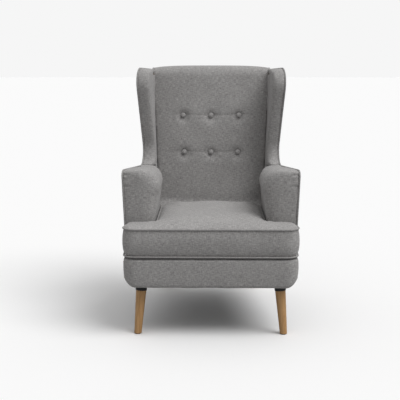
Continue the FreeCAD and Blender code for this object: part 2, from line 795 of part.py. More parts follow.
def springs():
    """Sinuous springs from rail to rail, hooked in clips."""
    wire = size("spring_wire")
    width = size("spring_width")
    front = -size("base_reach") + size("front_padding") + size("front_rail_thickness") / 2
    rear = inside_back(size("rail_bottom"), size("back_inset")) - size("rear_rail_thickness") / 2
    level = size("rail_top") + size("clip_sheet") + soft_gap
    spare = 1
    loops = int(size("spring_loops"))
    pitch = (rear - front) / loops
    bars, clips, rooms = [], [], []
    for k in range(int(size("spring_count"))):
        middle = (k - (size("spring_count") - 1) / 2) * size("spring_spacing")
        pieces = []
        for loop in range(loops + 1):
            y = front + loop * pitch
            cross = Part.makeBox(width, wire, wire, Vector(middle - width / 2, y - wire / 2, level))
            pieces.append(cross)
            if loop < loops:
                edge = middle + (width / 2 - wire if loop % 2 else -width / 2)
                pieces.append(Part.makeBox(wire, pitch, wire, Vector(edge, y, level)))
        spring = pieces[0].multiFuse(pieces[1:]).removeSplitter()
        bars.append(spring)
        for y in (front, rear):
            clip_width = size("clip_width")
            length = size("clip_length")
            sheet_metal = size("clip_sheet")
            tall = wire + 2 * sheet_metal + 2 * soft_gap
            corner = Vector(middle - clip_width / 2, y - length / 2, size("rail_top"))
            clip = Part.makeBox(clip_width, length, tall, corner)
            slot = Part.makeBox(
                clip_width * 2,
                length - sheet_metal,
                wire + 2 * soft_gap,
                Vector(
                    middle - clip_width,
                    y - length / 2 + (sheet_metal if y == front else 0),
                    size("rail_top") + sheet_metal,
                ),
            )
            clips.append(clip.cut(slot))
            reach = size("front_rail_thickness") + 2 * spare
            corner = Vector(middle - width / 2 - spare, y - reach / 2, size("rail_top"))
            rooms.append(Part.makeBox(width + 2 * spare, reach, tall + spare, corner))
    register("seat_springs", feature("seat_springs", Part.Compound(bars)))
    register("spring_clips", feature("spring_clips", Part.Compound(clips)))
    return feature("clip_rooms", Part.Compound(rooms))


def strap_heights():
    """Heights of the back straps, the top ones behind the two button rows."""
    low = size("button_row_low")
    return [low + (k - 3) * size("strap_spacing") for k in range(int(size("strap_count")))]


def webbing():
    """Elastic straps across the back posts, pierced by the tufting twine."""
    straps = []
    face = size("back_inset") + size("post_depth")
    for height in strap_heights():
        half = inside_half(
            inside_back(height, face), height, size("rail_inset") + size("arm_rail_thickness")
        )
        half -= 2 * soft_gap
        strap = Part.makeBox(
            2 * half,
            size("strap_width"),
            size("strap_thickness"),
            Vector(-half, up_back(height) - size("strap_width") / 2, face),
        )
        strap.Placement = back_frame().multiply(strap.Placement)
        straps.append(strap)
    return feature("strap_blanks", Part.Compound(straps))


# Soft pieces.


def pad_profile(x):
    """Section of the back pad across one upright plane."""
    crown = size("back_crown") * (1 - (x / size("back_half_top")) ** 2)
    belly = size("back_belly") * (1 - (x / size("back_half_top")) ** 2)
    low, high = size("deck_top") + soft_gap, size("back_pad_shoulder_height")
    lumbar = size("back_pad_lumbar_height")
    fall = (x / size("back_half_top")) ** 4 * size("back_crown") / 2
    rear_top = size("wing_top_rear")
    a = Vector(x, inside_back(low, size("fabric") + hair), low)
    b = Vector(x, size("back_pad_seat"), low)
    c = Vector(x, size("back_pad_seat"), lumbar - 22)
    d = Vector(x, size("back_pad_lumbar") + size("back_crown") - crown, lumbar)
    f = Vector(x, size("back_pad_shoulder") + size("back_crown") - crown, high)
    e = (d + f) * 0.5 + Vector(0, -belly, 0)
    h = Vector(x, size("back_pad_crest"), size("back_pad_top") - fall)
    g = Vector(x, f.y + (h.y - f.y) * 0.34, f.z + (h.z - f.z) * 0.74)
    k = Vector(x, inside_back(rear_top - fall, size("fabric") + hair), rear_top - fall)
    j = Vector(x, h.y + (k.y - h.y) * 0.6, h.z - (h.z - k.z) * 0.32)
    return Part.Wire(
        [
            Part.makeLine(a, b),
            Part.makeLine(b, c),
            Part.makeLine(c, d),
            Part.Arc(d, e, f).toShape(),
            Part.Arc(f, g, h).toShape(),
            Part.Arc(h, j, k).toShape(),
            Part.makeLine(k, a),
        ]
    )


def pad_front(x, z):
    """Depth of the back pad's front face at a place."""
    share = (z - size("back_pad_lumbar_height")) / (
        size("back_pad_shoulder_height") - size("back_pad_lumbar_height")
    )
    rise = 1 - (x / size("back_half_top")) ** 2
    line = size("back_pad_lumbar") + share * (size("back_pad_shoulder") - size("back_pad_lumbar"))
    belly = size("back_belly") * rise * 4 * share * (1 - share)
    return line + size("back_crown") * (1 - rise) - belly


def button_places():
    places = []
    for row, pitch in (("button_row_high", "button_pitch_high"), ("button_row_low", "button_pitch_low")):
        for k in (-1, 0, 1):
            x = k * size(pitch)
            z = size(row)
            places.append(Vector(x, pad_front(x, z), z))
    return places


def inner_side_room(side, gap):
    """Everything on the inner side of the wing's inner face, the room of the back pad."""
    low, high = 0.0, FAR
    points = [
        Vector(side * (pad_half(low) + gap), -FAR, low),
        Vector(side * (pad_half(high) + gap), -FAR, high),
        Vector(-side * FAR, -FAR, high),
        Vector(-side * FAR, -FAR, low),
    ]
    return Part.Face(Part.makePolygon(points + points[:1])).extrude(Vector(0, 2 * FAR, 0))


def back_panel_room():
    """Everything behind the inner face of the outside back."""
    room = Part.makeBox(
        2 * FAR, 2 * FAR, 2 * FAR, Vector(-FAR, -FAR, size("fabric") + hair - 2 * FAR)
    )
    room.Placement = back_frame()
    return room


def back_pad(straps):
    """Crowned back pad with a dimple at each button, rolled over the top rail."""
    reach = size("back_half_top") + 6
    stations = [-reach, -0.86 * reach, -0.5 * reach, 0, 0.5 * reach, 0.86 * reach, reach]
    body = loft([pad_profile(x) for x in stations], ruled=False)
    for side in SIDES.values():
        body = body.common(inner_side_room(side, -soft_gap))
    face = size("back_inset") + size("post_depth") + size("strap_thickness") + hair
    rail_crest = up_back(size("top_rail_top")) + soft_gap
    hollow = Part.makeBox(FAR, rail_crest + FAR, face + FAR, Vector(-FAR / 2, -FAR, -FAR))
    hollow.Placement = back_frame().multiply(hollow.Placement)
    body = body.cut(hollow)
    wide, deep = size("dimple_diameter") / 2, size("dimple_depth")
    ball = (wide**2 + deep**2) / (2 * deep)
    for place in button_places():
        dent = Part.makeSphere(ball, place - Vector(0, ball - deep, 0))
        body = body.cut(dent)
    ties = []
    buttons = []
    washers = []
    half = size("button_diameter") / 2
    sag = ball - math.sqrt(ball**2 - half**2)
    for place in button_places():
        seat = place + Vector(0, deep - sag - soft_gap, 0)
        height = size("button_height")
        dome_radius = (half**2 + (height * 0.55) ** 2) / (2 * height * 0.55)
        dome = Part.makeSphere(dome_radius, seat + Vector(0, dome_radius - height, 0))
        drum = Part.makeCylinder(half, height * 2, seat - Vector(0, height * 2, 0), Vector(0, 1, 0))
        button = dome.common(drum)
        buttons.append(button)
        rear = outside_back(place.z) - (
            size("back_inset") + size("post_depth") - size("washer_thickness") - soft_gap
        ) / math.cos(back_lean)
        ties.append(
            Part.makeCylinder(size("tie_diameter") / 2, rear - seat.y, seat, Vector(0, 1, 0))
        )
        washer = Part.makeCylinder(
            size("washer_diameter") / 2, size("washer_thickness"), Vector(), Vector(0, 0, 1)
        )
        washer.Placement = Placement(
            back_frame().multVec(
                Vector(
                    place.x,
                    up_back(place.z) - (size("back_inset") + size("post_depth")) * math.tan(back_lean),
                    size("back_inset") + size("post_depth") - size("washer_thickness") - hair,
                )
            ),
            back_frame().Rotation,
        )
        washers.append(washer)
    bore = size("tie_diameter") / 2 + soft_gap
    through = Vector(0, size("back_top_reach"), 0)
    holes = [
        Part.makeCylinder(bore, through.Length, place - through / 4, through)
        for place in button_places()
    ]
    body = body.cut(holes)
    timbers = [
        parts[f"{timber}_{name}"]
        for timber in ("back_post", "wing_board", "arm_rail")
        for name in SIDES
    ]
    register("back_pad", cut("back_pad", feature("back_pad_blank", body), timbers))
    register("tuft_buttons", feature("tuft_buttons", Part.Compound(buttons)))
    register("tuft_ties", feature("tuft_ties", Part.Compound(ties)))
    drilled = [washer.cut(holes) for washer in washers]
    register("tuft_washers", feature("tuft_washers", Part.Compound(drilled)))
    register("back_webbing", cut("back_webbing", straps, [feature("tie_holes", Part.Compound(holes))]))


def arm_section(side, y, inner_shift, top_drop):
    """Upright section of an arm pad, square to the chair's middle plane."""
    top = arm_top(y) - top_drop
    bottom = size("rail_top")
    outer_low = inside_half(y, bottom, size("fabric") + hair)
    outer_high = inside_half(y, top, size("fabric") + hair)
    inner = size("arm_inner_half") + inner_shift
    swell = size("arm_bulge") * max(0.05, 1 - (max(0.0, y - 20) / 130) ** 2) * (1 - inner_shift / 60)
    bulge_z = size("arm_bulge_height")
    rounding = size("arm_roll")

    def at(x, z):
        return Vector(side * x, y, z)

    shoulder = inner - swell + rounding
    points = [
        at(outer_low, bottom),
        at(outer_high, top),
        at(shoulder, top - 1),
        at(inner - swell + rounding * 0.24, top - rounding * 0.30),
        at(inner - swell, bulge_z),
        at(inner - swell * 0.62, (bulge_z + size("cushion_edge")) / 2),
        at(inner, size("cushion_edge")),
        at(inner, bottom),
    ]
    return Part.Wire(
        [
            Part.makeLine(points[0], points[1]),
            Part.makeLine(points[1], points[2]),
            Part.Arc(points[2], points[3], points[4]).toShape(),
            Part.Arc(points[4], points[5], points[6]).toShape(),
            Part.makeLine(points[6], points[7]),
            Part.makeLine(points[7], points[0]),
        ]
    )


def arm_pads(timbers):
    """Inside arm pads: full round front, swollen inner face, rolled top."""
    front = -size("arm_reach")
    turn = size("arm_front_round")
    steps = (0.0, 0.12, 0.35, 0.68, 1.0)
    for name, side in SIDES.items():
        wires = []
        for step in steps:
            back_off = turn * (1 - math.sqrt(max(0.0, 1 - (1 - step) ** 2)))
            wires.append(arm_section(side, front + turn * step, back_off, back_off * 0.3))
        rear = size("back_pad_seat") - soft_gap
        for y in (-120, 0, 60, 100, 130, rear):
            wires.append(arm_section(side, y, 0, 0))
        body = loft(wires)
        foot, beyond = size("rail_top"), size("back_top_reach")
        outline = [
            on_side(front, foot),
            on_side(front, arm_top(front)),
            on_side(beyond, arm_top(beyond)),
            on_side(beyond, foot),
        ]
        frame = side_frame(side)
        inward = Vector(0, 0, -side)
        profile = Part.Face(rounded_wire(outline, [0, size("arm_corner"), 0, 0]))
        slab = profile.extrude(inward * size("side_front_half"))
        slab.translate(inward * (size("fabric") + hair))
        slab.transformShape(frame.Matrix)
        body = body.common(slab)
        behind = Part.makeBox(2 * FAR, 2 * FAR, 2 * FAR, Vector(-FAR, rear, -FAR))
        block_rear = slab.common(behind).cut(inner_side_room(side, soft_gap))
        half = size("arm_inner_half")
        below = Part.makeBox(2 * half, FAR, size("deck_top") + FAR, Vector(-half, 0, -FAR))
        block_rear = block_rear.cut([below, back_panel_room()])
        body = body.fuse(block_rear).removeSplitter()
        whole = feature(f"arm_pad_blank_{name}", body)
        tools = timbers[name] + [parts[f"side_rail_{name}"]]
        register(f"arm_pad_{name}", cut(f"arm_pad_{name}", whole, tools))


def above_wing(side, outline):
    """The room above a wing's top, which falls away inward from its ridge."""
    way = (outline[4] - outline[3]).normalize()
    start = outline[3] - way * size("wing_nose_radius")
    length = (outline[4] - outline[3]).Length + 2 * size("wing_nose_radius")
    run = size("wing_thickness") - size("wing_top_ridge")
    points = [
        start + Vector(0, depth_fall, -side * depth)
        for depth, depth_fall in (
            (size("wing_top_ridge"), 0),
            (size("wing_top_ridge") + 2 * run, -2 * size("wing_top_fall")),
            (size("wing_top_ridge") + 2 * run, run),
            (size("wing_top_ridge"), run),
        )
    ]
    room = Part.Face(Part.makePolygon(points + points[:1])).extrude(way * length)
    room.transformShape(side_frame(side).Matrix)
    return feature("above_wing", room)


def wing_pads(timbers):
    """Inside wing pads, round at the front edge and thinning towards the outside back."""
    for name, side in SIDES.items():
        outline, radii = side_outline()
        lift = Vector(0, soft_gap, 0)
        start = size("wing_root") - size("wing_root_radius") * 1.3
        rear = size("back_top_reach")
        points = [
            on_side(start, arm_top(start)) + lift,
            outline[2] + lift,
            outline[3],
            outline[4],
            on_side(rear, arm_top(rear)) + lift,
        ]
        radii = [0, size("wing_root_radius"), radii[3], radii[4], 0]
        whole = side_plate(
            f"wing_pad_blank_{name}",
            side,
            points,
            radii,
            f"{S}fabric",
            f"{S}wing_thickness",
            size("wing_edge_radius"),
        )
        rooms = [
            feature(f"wing_room_{name}", inner_side_room(side, soft_gap)),
            feature(f"wing_end_{name}", back_panel_room()),
            above_wing(side, outline),
        ]
        register(f"wing_pad_{name}", cut(f"wing_pad_{name}", whole, rooms + timbers[name]))


def skin(side, thickness):
    """Outer skin of a side: flat, and turned under with the base's lower edge."""
    radius = size("tuck_radius")
    high = FAR
    low = (size("base_bottom") - size("deck_top")) / math.cos(lean)
    turn = low + radius
    inner = radius - thickness
    slant = math.sqrt(0.5)

    def at(up_plane, inward):
        return Vector(-FAR, up_plane, -side * inward)

    wire = Part.Wire(
        [
            Part.makeLine(at(high, 0), at(turn, 0)),
            Part.Arc(
                at(turn, 0), at(turn - radius * slant, radius * (1 - slant)), at(low, radius)
            ).toShape(),
            Part.makeLine(at(low, radius), at(low + thickness, radius)),
            Part.Arc(
                at(low + thickness, radius),
                at(turn - inner * slant, radius - inner * slant),
                at(turn, thickness),
            ).toShape(),
            Part.makeLine(at(turn, thickness), at(high, thickness)),
            Part.makeLine(at(high, thickness), at(high, 0)),
        ]
    )
    return Part.Face(wire).extrude(Vector(2 * FAR, 0, 0))


def outside_panels():
    """Outside arm and outside wing panels, with the seam between them."""
    front = -size("arm_reach")
    ahead = world_box("ahead_of_arms", Vector(-FAR, -FAR, -FAR), Vector(FAR, front, FAR))
    for name, side in SIDES.items():
        points, radii = side_outline()
        start = size("wing_seam_start")
        seam_front = on_side(start, arm_top(start))
        rear = inside_back(size("wing_seam_rear"), size("fabric") + hair)
        seam_rear = on_side(rear, size("wing_seam_rear"))
        arm = [points[0], points[1], seam_front, seam_rear, points[5]]
        wing = [seam_front, points[2], points[3], points[4], seam_rear]
        shell = skin(side, size("fabric"))
        for label, outline, corners in (
            ("outside_arm", arm, [0, radii[1], 0, 0, 0]),
            ("outside_wing", wing, [0, radii[2], radii[3], radii[4], 0]),
        ):
            face = Part.Face(rounded_wire(outline, corners))
            face.translate(Vector(0, 0, side * hair))
            plate = face.extrude(Vector(0, 0, -side * (size("tuck_radius") + size("fabric"))))
            panel = plate.common(shell)
            if label == "outside_wing":
                panel.translate(Vector(0, hair, 0))
            blank = feature(f"{label}_blank_{name}", panel)
            blank.Placement = side_frame(side)
            register(f"{label}_{name}", cut(f"{label}_{name}", blank, [ahead]))


def outside_back_panel():
    """Outside back panel, round at the lower corners as the base is."""
    low, high = size("base_bottom"), size("wing_top_rear")
    corners = []
    for side, z in ((-1, low), (1, low), (1, high), (-1, high)):
        corners.append(Vector(side * outside_half(outside_back(z), z), up_back(z), 0))
    radii = [size("tuck_radius")] * 2 + [size("wing_rear_radius")] * 2
    face = Part.Face(rounded_wire(corners, radii))
    panel = feature("outside_back", face.extrude(Vector(0, 0, size("fabric") - hair)))
    panel.Placement = back_frame()
    register("outside_back", panel)


def base_outline(z, side_inset, front_inset):
    half = size("side_front_half") - side_inset
    front = -size("base_reach") + front_inset
    rear = -size("arm_reach") - soft_gap
    points = [
        Vector(-half, rear, z),
        Vector(-half, front, z),
        Vector(half, front, z),
        Vector(half, rear, z),
    ]
    corner = size("base_corner")
    return rounded_wire(points, [0, corner, corner, 0])


def front_border(rooms):
    """Padded base front, wrapped round the ears and under the frame."""
    low, high = size("base_bottom"), size("deck_top")
    tuck, front = size("tuck_radius"), size("front_tuck")
    wires = []
    for rise in (0, 2, 7, 16, 30, 48):
        side_inset = tuck - math.sqrt(max(0.0, tuck**2 - (tuck - min(rise, tuck)) ** 2))
        front_inset = front - math.sqrt(max(0.0, front**2 - (front - min(rise, front)) ** 2))
        wires.append(base_outline(low + rise, side_inset, front_inset))
    for drop, inset in ((14, 0), (5, 2.5), (1.5, 6.5), (0, 12)):
        wires.append(base_outline(high - drop, inset * 0.7, inset))
    body = loft(wires)
    inner_front = -size("base_reach") + size("front_padding") + size("front_rail_thickness")
    level = size("rail_top") + size("clip_sheet") * 2 + size("spring_wire") + 3 * soft_gap
    well_half = inside_half(
        -size("arm_reach"), size("rail_bottom"), size("rail_inset") + size("rail_thickness")
    )
    well = Part.makeBox(2 * well_half, FAR, level, Vector(-well_half, inner_front, 0))
    deck_half = size("arm_inner_half")
    corner = Vector(-deck_half, -size("deck_front") - soft_gap, 0)
    deck_room = Part.makeBox(2 * deck_half, FAR, FAR, corner)
    body = body.cut([well, deck_room])
    solid = max(body.Solids, key=lambda piece: piece.Volume)
    register("front_border", cut("front_border", feature("front_border_blank", solid), rooms))


def platform(rooms):
    """Felt pad over the springs and the cloth on it."""
    half = size("arm_inner_half") - soft_gap
    level = size("rail_top") + size("clip_sheet") + size("spring_wire") + 2 * soft_gap
    front, rear = -size("deck_front"), size("deck_rear")
    depth = size("deck_top") - size("deck_cloth") - level
    pad = Part.makeBox(2 * half, rear - front, depth, Vector(-half, front, level))
    blank = feature("deck_pad_blank", pad)
    register("deck_pad", cut("deck_pad", blank, [rooms]))
    cloth = block(
        "deck_cloth",
        "XY_Plane",
        [
            (f"-{S}arm_inner_half + {S}clearance", f"-{S}deck_front"),
            (f"{S}arm_inner_half - {S}clearance", f"-{S}deck_front"),
            (f"{S}arm_inner_half - {S}clearance", f"{S}deck_rear"),
            (f"-{S}arm_inner_half + {S}clearance", f"{S}deck_rear"),
        ],
        f"{S}deck_top - {S}deck_cloth",
        f"{S}deck_cloth",
    )
    register("deck_cloth", cloth)


def dust_cover():
    """Black cloth closing the underside, cut out round the leg sockets."""
    top = size("rail_bottom")
    inset = size("tuck_radius") + 2 * soft_gap
    arm_front = -size("arm_reach")
    front = -size("base_reach") + size("front_padding")
    rear = inside_back(top, size("back_inset"))
    wide = inside_half(arm_front, top, inset)
    narrow = inside_half(rear, top, inset)
    points = [
        Vector(-wide, front, 0),
        Vector(wide, front, 0),
        Vector(wide, arm_front, 0),
        Vector(narrow, rear, 0),
        Vector(-narrow, rear, 0),
        Vector(-wide, arm_front, 0),
    ]
    body = doc.addObject("PartDesign::Body", "dust_cover_blank")
    sketch = new_sketch(body, "XY_Plane")
    for k, point in enumerate(points):
        sketch.addGeometry(Part.LineSegment(point, points[(k + 1) % len(points)]), False)
    sketch.setExpression("AttachmentOffset.Base.z", f"{S}rail_bottom - {S}dust_cloth")
    pad = body.newObject("PartDesign::Pad", "pad")
    pad.Profile = sketch
    pad.setExpression("Length", f"{S}dust_cloth")
    cutters = []
    for name in ("front", "rear"):
        for side in SIDES.values():
            _, seat, way = leg_line(name, side)
            hole = doc.addObject("Part::Cylinder", f"socket_hole_{name}_{side + 1}")
            hole.setExpression("Radius", f"{S}leg_top_diameter / 2 + {S}clearance")
            hole.Height = 4 * size("socket_height")
            hole.Placement = Placement(seat - way * 2 * size("socket_height"), Rotation(UP, way))
            cutters.append(hole)
    register("dust_cover", cut("dust_cover", body, cutters))
    return cutters


# Seat cushion.


def t_outline(offset, z):
    """Plan outline of the cushion, grown by an offset."""
    ear = size("cushion_half") + offset
    front = -size("seat_reach") - offset
    notch = -size("arm_reach") - size("piping_diameter") - 1 + offset
    neck = neck_half() + offset
    rear = size("cushion_rear") + offset
    points = [
        Vector(-ear, front, z),
        Vector(ear, front, z),
        Vector(ear, notch, z),
        Vector(neck, notch, z),
        Vector(neck, rear, z),
        Vector(-neck, rear, z),
        Vector(-neck, notch, z),
        Vector(-ear, notch, z),
    ]
    depth = size("seat_reach") - size("arm_reach") - size("piping_diameter") - 1
    outer = max(depth * size("front_corner_share") + offset, 2)
    ear_radius = max(depth * size("ear_corner_share") + offset, 2)
    inner = max(size("neck_corner") - offset, 2)
    last = max(size("cushion_rear_corner") + offset, 2)
    radii = [outer, outer, ear_radius, inner, last, last, inner, ear_radius]
    return rounded_wire(points, radii)


def neck_half():
    """Half width of the cushion's neck, so that its piping clears the arms."""
    return size("arm_inner_half") - size("piping_diameter") - 2 * soft_gap


def cushion():
    """Loose T cushion: foam core, cover with crowned top and swollen boxing, piping and zip."""
    low = size("deck_top") + soft_gap
    edge = size("cushion_edge")
    swell = size("cushion_swell")
    middle = (low + edge) / 2
    levels = [
        (low, -3),
        (low + 8, -1),
        ((low + middle) / 2, swell * 0.62),
        (middle, swell),
        ((middle + edge) / 2, swell * 0.62),
        (edge - 5, 0.4),
        (edge, 0),
        (edge + 7, -2.5),
        (edge + 14, -8),
        (edge + 20, -17),
        (edge + size("cushion_crown") + 4, -27),
    ]
    body = loft([t_outline(offset, z) for z, offset in levels])
    front, rear = -size("seat_reach") - 20, size("cushion_rear") + 20
    half = size("cushion_half") + 20
    slices = []
    for y, height in (
        (front, 0.18),
        (front + 60, 0.62),
        (front + 0.42 * (rear - front), 1.0),
        (rear - 80, 0.86),
        (rear, 0.56),
    ):
        peak = edge + size("cushion_crown") * height
        side_height = edge + size("cushion_crown") * height * 0.45
        a, b = Vector(-half, y, low - 5), Vector(half, y, low - 5)
        c, d = Vector(half, y, side_height), Vector(-half, y, side_height)
        slices.append(
            Part.Wire(
                [
                    Part.makeLine(a, b),
                    Part.makeLine(b, c),
                    Part.Arc(c, Vector(0, y, peak), d).toShape(),
                    Part.makeLine(d, a),
                ]
            )
        )
    crown = loft(slices, ruled=False)
    body = body.common(crown)
    wall = size("cover_thickness")
    core = Part.Face(t_outline(-wall, low + wall)).extrude(UP * (edge - low - 2 * wall + 8))
    register("cushion_core", feature("cushion_core", core))
    cover = body.cut(core)
    register("cushion_cover", feature("cushion_cover", cover))

    low_level = low + piping_radius + 0.2
    seams = (
        ("cushion_piping_bottom", low_level, piping_radius + 0.1),
        ("cushion_piping_top", edge + 3.4, piping_radius - 0.4),
    )
    for label, z, offset in seams:
        path = t_outline(offset, z)
        register(label, feature(label, tube(path, size("piping_diameter"))))

    tape_face = size("cushion_rear") + swell + soft_gap
    tape = block(
        "zip_tape",
        "XZ_Plane",
        [
            (f"-{S}zip_length / 2", f"({S}deck_top + {S}cushion_edge - {S}zip_width) / 2"),
            (f"{S}zip_length / 2", f"({S}deck_top + {S}cushion_edge - {S}zip_width) / 2"),
            (f"{S}zip_length / 2", f"({S}deck_top + {S}cushion_edge + {S}zip_width) / 2"),
            (f"-{S}zip_length / 2", f"({S}deck_top + {S}cushion_edge + {S}zip_width) / 2"),
        ],
        f"-({S}cushion_rear + {S}cushion_swell + {S}clearance + {S}zip_tape)",
        f"{S}zip_tape",
    )
    register("zip_tape", tape)
    slider_face = tape_face + size("zip_tape") + soft_gap
    centre = (size("deck_top") + edge) / 2
    long, wide, thick = size("slider_length"), size("slider_width"), size("slider_thickness")
    start = -size("zip_length") / 2 + long
    slider = Part.makeBox(
        long, thick, wide, Vector(start - long / 2, slider_face, centre - wide / 2)
    )
    slider = slider.makeFillet(1.2, [edge for edge in slider.Edges if edge.BoundBox.YLength > thick / 2])
    pull = Part.makeBox(
        wide * 0.6,
        thick * 0.5,
        size("pull_length"),
        Vector(start - wide * 0.3, slider_face + thick * 0.5, centre - size("pull_length")),
    )
    register("zip_slider", feature("zip_slider", slider.fuse(pull).removeSplitter()))


def side_piping():
    """Corded piping round the outer edge of each arm and wing."""
    out = piping_radius + soft_gap
    for name, side in SIDES.items():
        points, radii = side_outline(out)
        start = points[1] + (points[0] - points[1]).normalize() * size("piping_run")
        end = points[3] + (points[4] - points[3]) * size("piping_end_share")
        path = rounded_wire(
            [start, points[1], points[2], points[3], end], [0] + radii[1:4] + [0], closed=False
        )
        cord = feature(f"piping_{name}", tube(path, size("piping_diameter")))
        depth = Vector(0, 0, -side * size("piping_depth"))
        cord.Placement = side_frame(side).multiply(Placement(depth, Rotation()))
        register(f"piping_{name}", cord)


# Build.

wedges = tuck_wedges()
post_zone = behind_posts()
rear_rail_blank = cross_rails()
side_rails()
bolts = legs()
register("rear_rail", cut("rear_rail", rear_rail_blank, [bolts, *wedges.values()]))
corner_blocks(bolts)
back_timbers(bolts)
arm_and_wing_timbers()
clip_rooms = springs()
straps = webbing()
back_pad(straps)
doc.recompute()
side_timbers = {
    name: [
        parts[f"{timber}_{name}"]
        for timber in ("arm_post", "arm_rail", "arm_lower_rail", "wing_board", "back_post")
    ]
    + [straps, parts["back_lower_rail"], parts["back_top_rail"]]
    for name in SIDES
}
arm_pads(side_timbers)
wing_pads(side_timbers)
outside_panels()
outside_back_panel()
holes = dust_cover()
front_border(
    [
        parts["front_rail"],
        parts["side_rail_right"],
        parts["side_rail_left"],
        parts["corner_blocks"],
        clip_rooms,
        parts["dust_cover"],
    ]
    + holes
)
platform(clip_rooms)
cushion()
side_piping()
doc.recompute()

faults = [
    obj.Name for obj in doc.Objects if any(word in ("Invalid", "Error") for word in obj.State)
]
for label, obj in parts.items():
    if obj.Shape.isNull() or not obj.Shape.isValid() or not obj.Shape.Solids:
        faults.append(label)
if faults:
    raise RuntimeError("not built: " + ", ".join(sorted(set(faults))))

os.makedirs("parts", exist_ok=True)
for label, obj in parts.items():
    solids = obj.Shape.Solids
    shape = solids[0] if len(solids) == 1 else Part.Compound(solids)
    shape.exportStep(f"parts/{label}.step")
    print(f"{label}: {len(solids)} solid(s), {shape.Volume / 1000:.1f} cm3")
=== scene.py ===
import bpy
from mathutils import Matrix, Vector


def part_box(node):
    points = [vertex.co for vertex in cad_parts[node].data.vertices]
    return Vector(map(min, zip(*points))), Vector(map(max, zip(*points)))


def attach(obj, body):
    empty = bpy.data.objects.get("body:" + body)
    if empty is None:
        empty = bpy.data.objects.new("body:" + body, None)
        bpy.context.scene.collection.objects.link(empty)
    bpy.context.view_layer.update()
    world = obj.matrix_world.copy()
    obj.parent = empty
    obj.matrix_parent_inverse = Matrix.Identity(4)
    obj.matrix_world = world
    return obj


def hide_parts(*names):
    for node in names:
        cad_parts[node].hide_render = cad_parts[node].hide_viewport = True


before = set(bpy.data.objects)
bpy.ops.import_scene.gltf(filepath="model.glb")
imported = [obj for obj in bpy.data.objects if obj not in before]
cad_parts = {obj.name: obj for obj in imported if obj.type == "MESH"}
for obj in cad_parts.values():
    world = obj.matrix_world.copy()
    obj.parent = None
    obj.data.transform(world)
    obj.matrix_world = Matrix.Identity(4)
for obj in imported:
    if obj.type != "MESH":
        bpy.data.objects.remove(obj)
"""Looks of a wingback armchair in grey tweed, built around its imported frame.

Everything is in metres in the frame's own axes: +Z up from the floor, the chair faces -Y and
+X is to the right as seen from the front.
"""

import logging
import math
from dataclasses import dataclass, field
from enum import Enum
from typing import Callable, Iterable, Sequence

import bmesh
import bpy
import numpy as np
from mathutils import Matrix, Vector

log = logging.getLogger("armchair")

NODES: dict[str, bpy.types.Object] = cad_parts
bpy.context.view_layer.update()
MM = 0.001

Piece = bpy.types.Object
Tree = bpy.types.NodeTree
Socket = bpy.types.NodeSocket
Flat = Sequence[tuple[float, float]]


class Side(Enum):
    """The chair's two sides, as seen from the front."""

    RIGHT = 1
    LEFT = -1

    @property
    def word(self) -> str:
        """The side's name in node names."""
        return self.name.lower()


class Body(Enum):
    """The rigid bodies that pieces ride on."""

    CHAIR = "chair"
    CUSHION = "seat_cushion"
    SLIDER = "zip_slider"


# Node and colour tools.


def linear(code: str) -> tuple[float, float, float, float]:
    """Turns an sRGB hex colour into a linear RGBA value.

    Args:
        code: Six hex digits.

    Returns:
        The linear colour with an alpha of 1.
    """
    values = [int(code[k : k + 2], 16) / 255 for k in (0, 2, 4)]
    red, green, blue = (v / 12.92 if v <= 0.04045 else ((v + 0.055) / 1.055) ** 2.4 for v in values)
    return (red, green, blue, 1.0)


def add_node(
    tree: Tree, kind: str, inputs: dict | None = None, **settings: object
) -> bpy.types.Node:
    """Adds a node to a tree with its settings, values and links.

    Args:
        tree: The tree that gets the node.
        kind: The node's type.
        inputs: Socket name or number to a value, or to the output socket that feeds it.
        settings: Properties of the node itself.

    Returns:
        The new node.
    """
    node = tree.nodes.new(kind)
    for name, value in settings.items():
        setattr(node, name, value)
    for socket, value in (inputs or {}).items():
        if isinstance(value, Socket):
            tree.links.new(value, node.inputs[socket])
        else:
            node.inputs[socket].default_value = value
    return node


def math_node(tree: Tree, operation: str, *values: object) -> Socket:
    """Adds a math node and gives its output.

    Args:
        tree: The tree that gets the node.
        operation: The math operation.
        values: Numbers or output sockets, in order.

    Returns:
        The node's output socket.
    """
    return add_node(tree, "ShaderNodeMath", dict(enumerate(values)), operation=operation).outputs[0]


def noise(
    tree: Tree,
    vector: Socket,
    detail: float,
    roughness: float,
    scale: float = 1.0,
    distortion: float = 0.0,
    dimensions: str = "3D",
) -> Socket:
    """Adds a noise texture and gives its level.

    Args:
        tree: The tree that gets the node.
        vector: Where the noise is read.
        detail: Number of finer layers.
        roughness: Strength of the finer layers.
        scale: Its fineness.
        distortion: How much it wavers.
        dimensions: Whether it is read in space or on a map.

    Returns:
        The noise's level.
    """
    inputs = {"Vector": vector, "Scale": scale, "Detail": detail, "Roughness": roughness}
    inputs["Distortion"] = distortion
    return add_node(tree, "ShaderNodeTexNoise", inputs, noise_dimensions=dimensions).outputs[0]


def stretched(
    tree: Tree,
    vector: Socket,
    scale: Sequence[float],
    place: Sequence[float] = (0, 0, 0),
) -> Socket:
    """Coordinates scaled along each axis and moved."""
    inputs = {"Vector": vector, "Scale": tuple(scale), "Location": tuple(place)}
    return add_node(tree, "ShaderNodeMapping", inputs).outputs[0]


def coloured(tree: Tree, shader: bpy.types.Node, level: Socket, *stops: tuple[float, str]) -> None:
    """Colours a shader by a level, along stops that each have a place and a hex colour."""
    mixer = add_node(tree, "ShaderNodeValToRGB", {0: level})
    elements = mixer.color_ramp.elements
    ends = (stops[0], stops[-1])
    for element, (place, code) in zip(elements[:], ends):
        element.position = place
        element.color = linear(code)
    for place, code in stops[1:-1]:
        elements.new(place).color = linear(code)
    tree.links.new(mixer.outputs[0], shader.inputs["Base Color"])


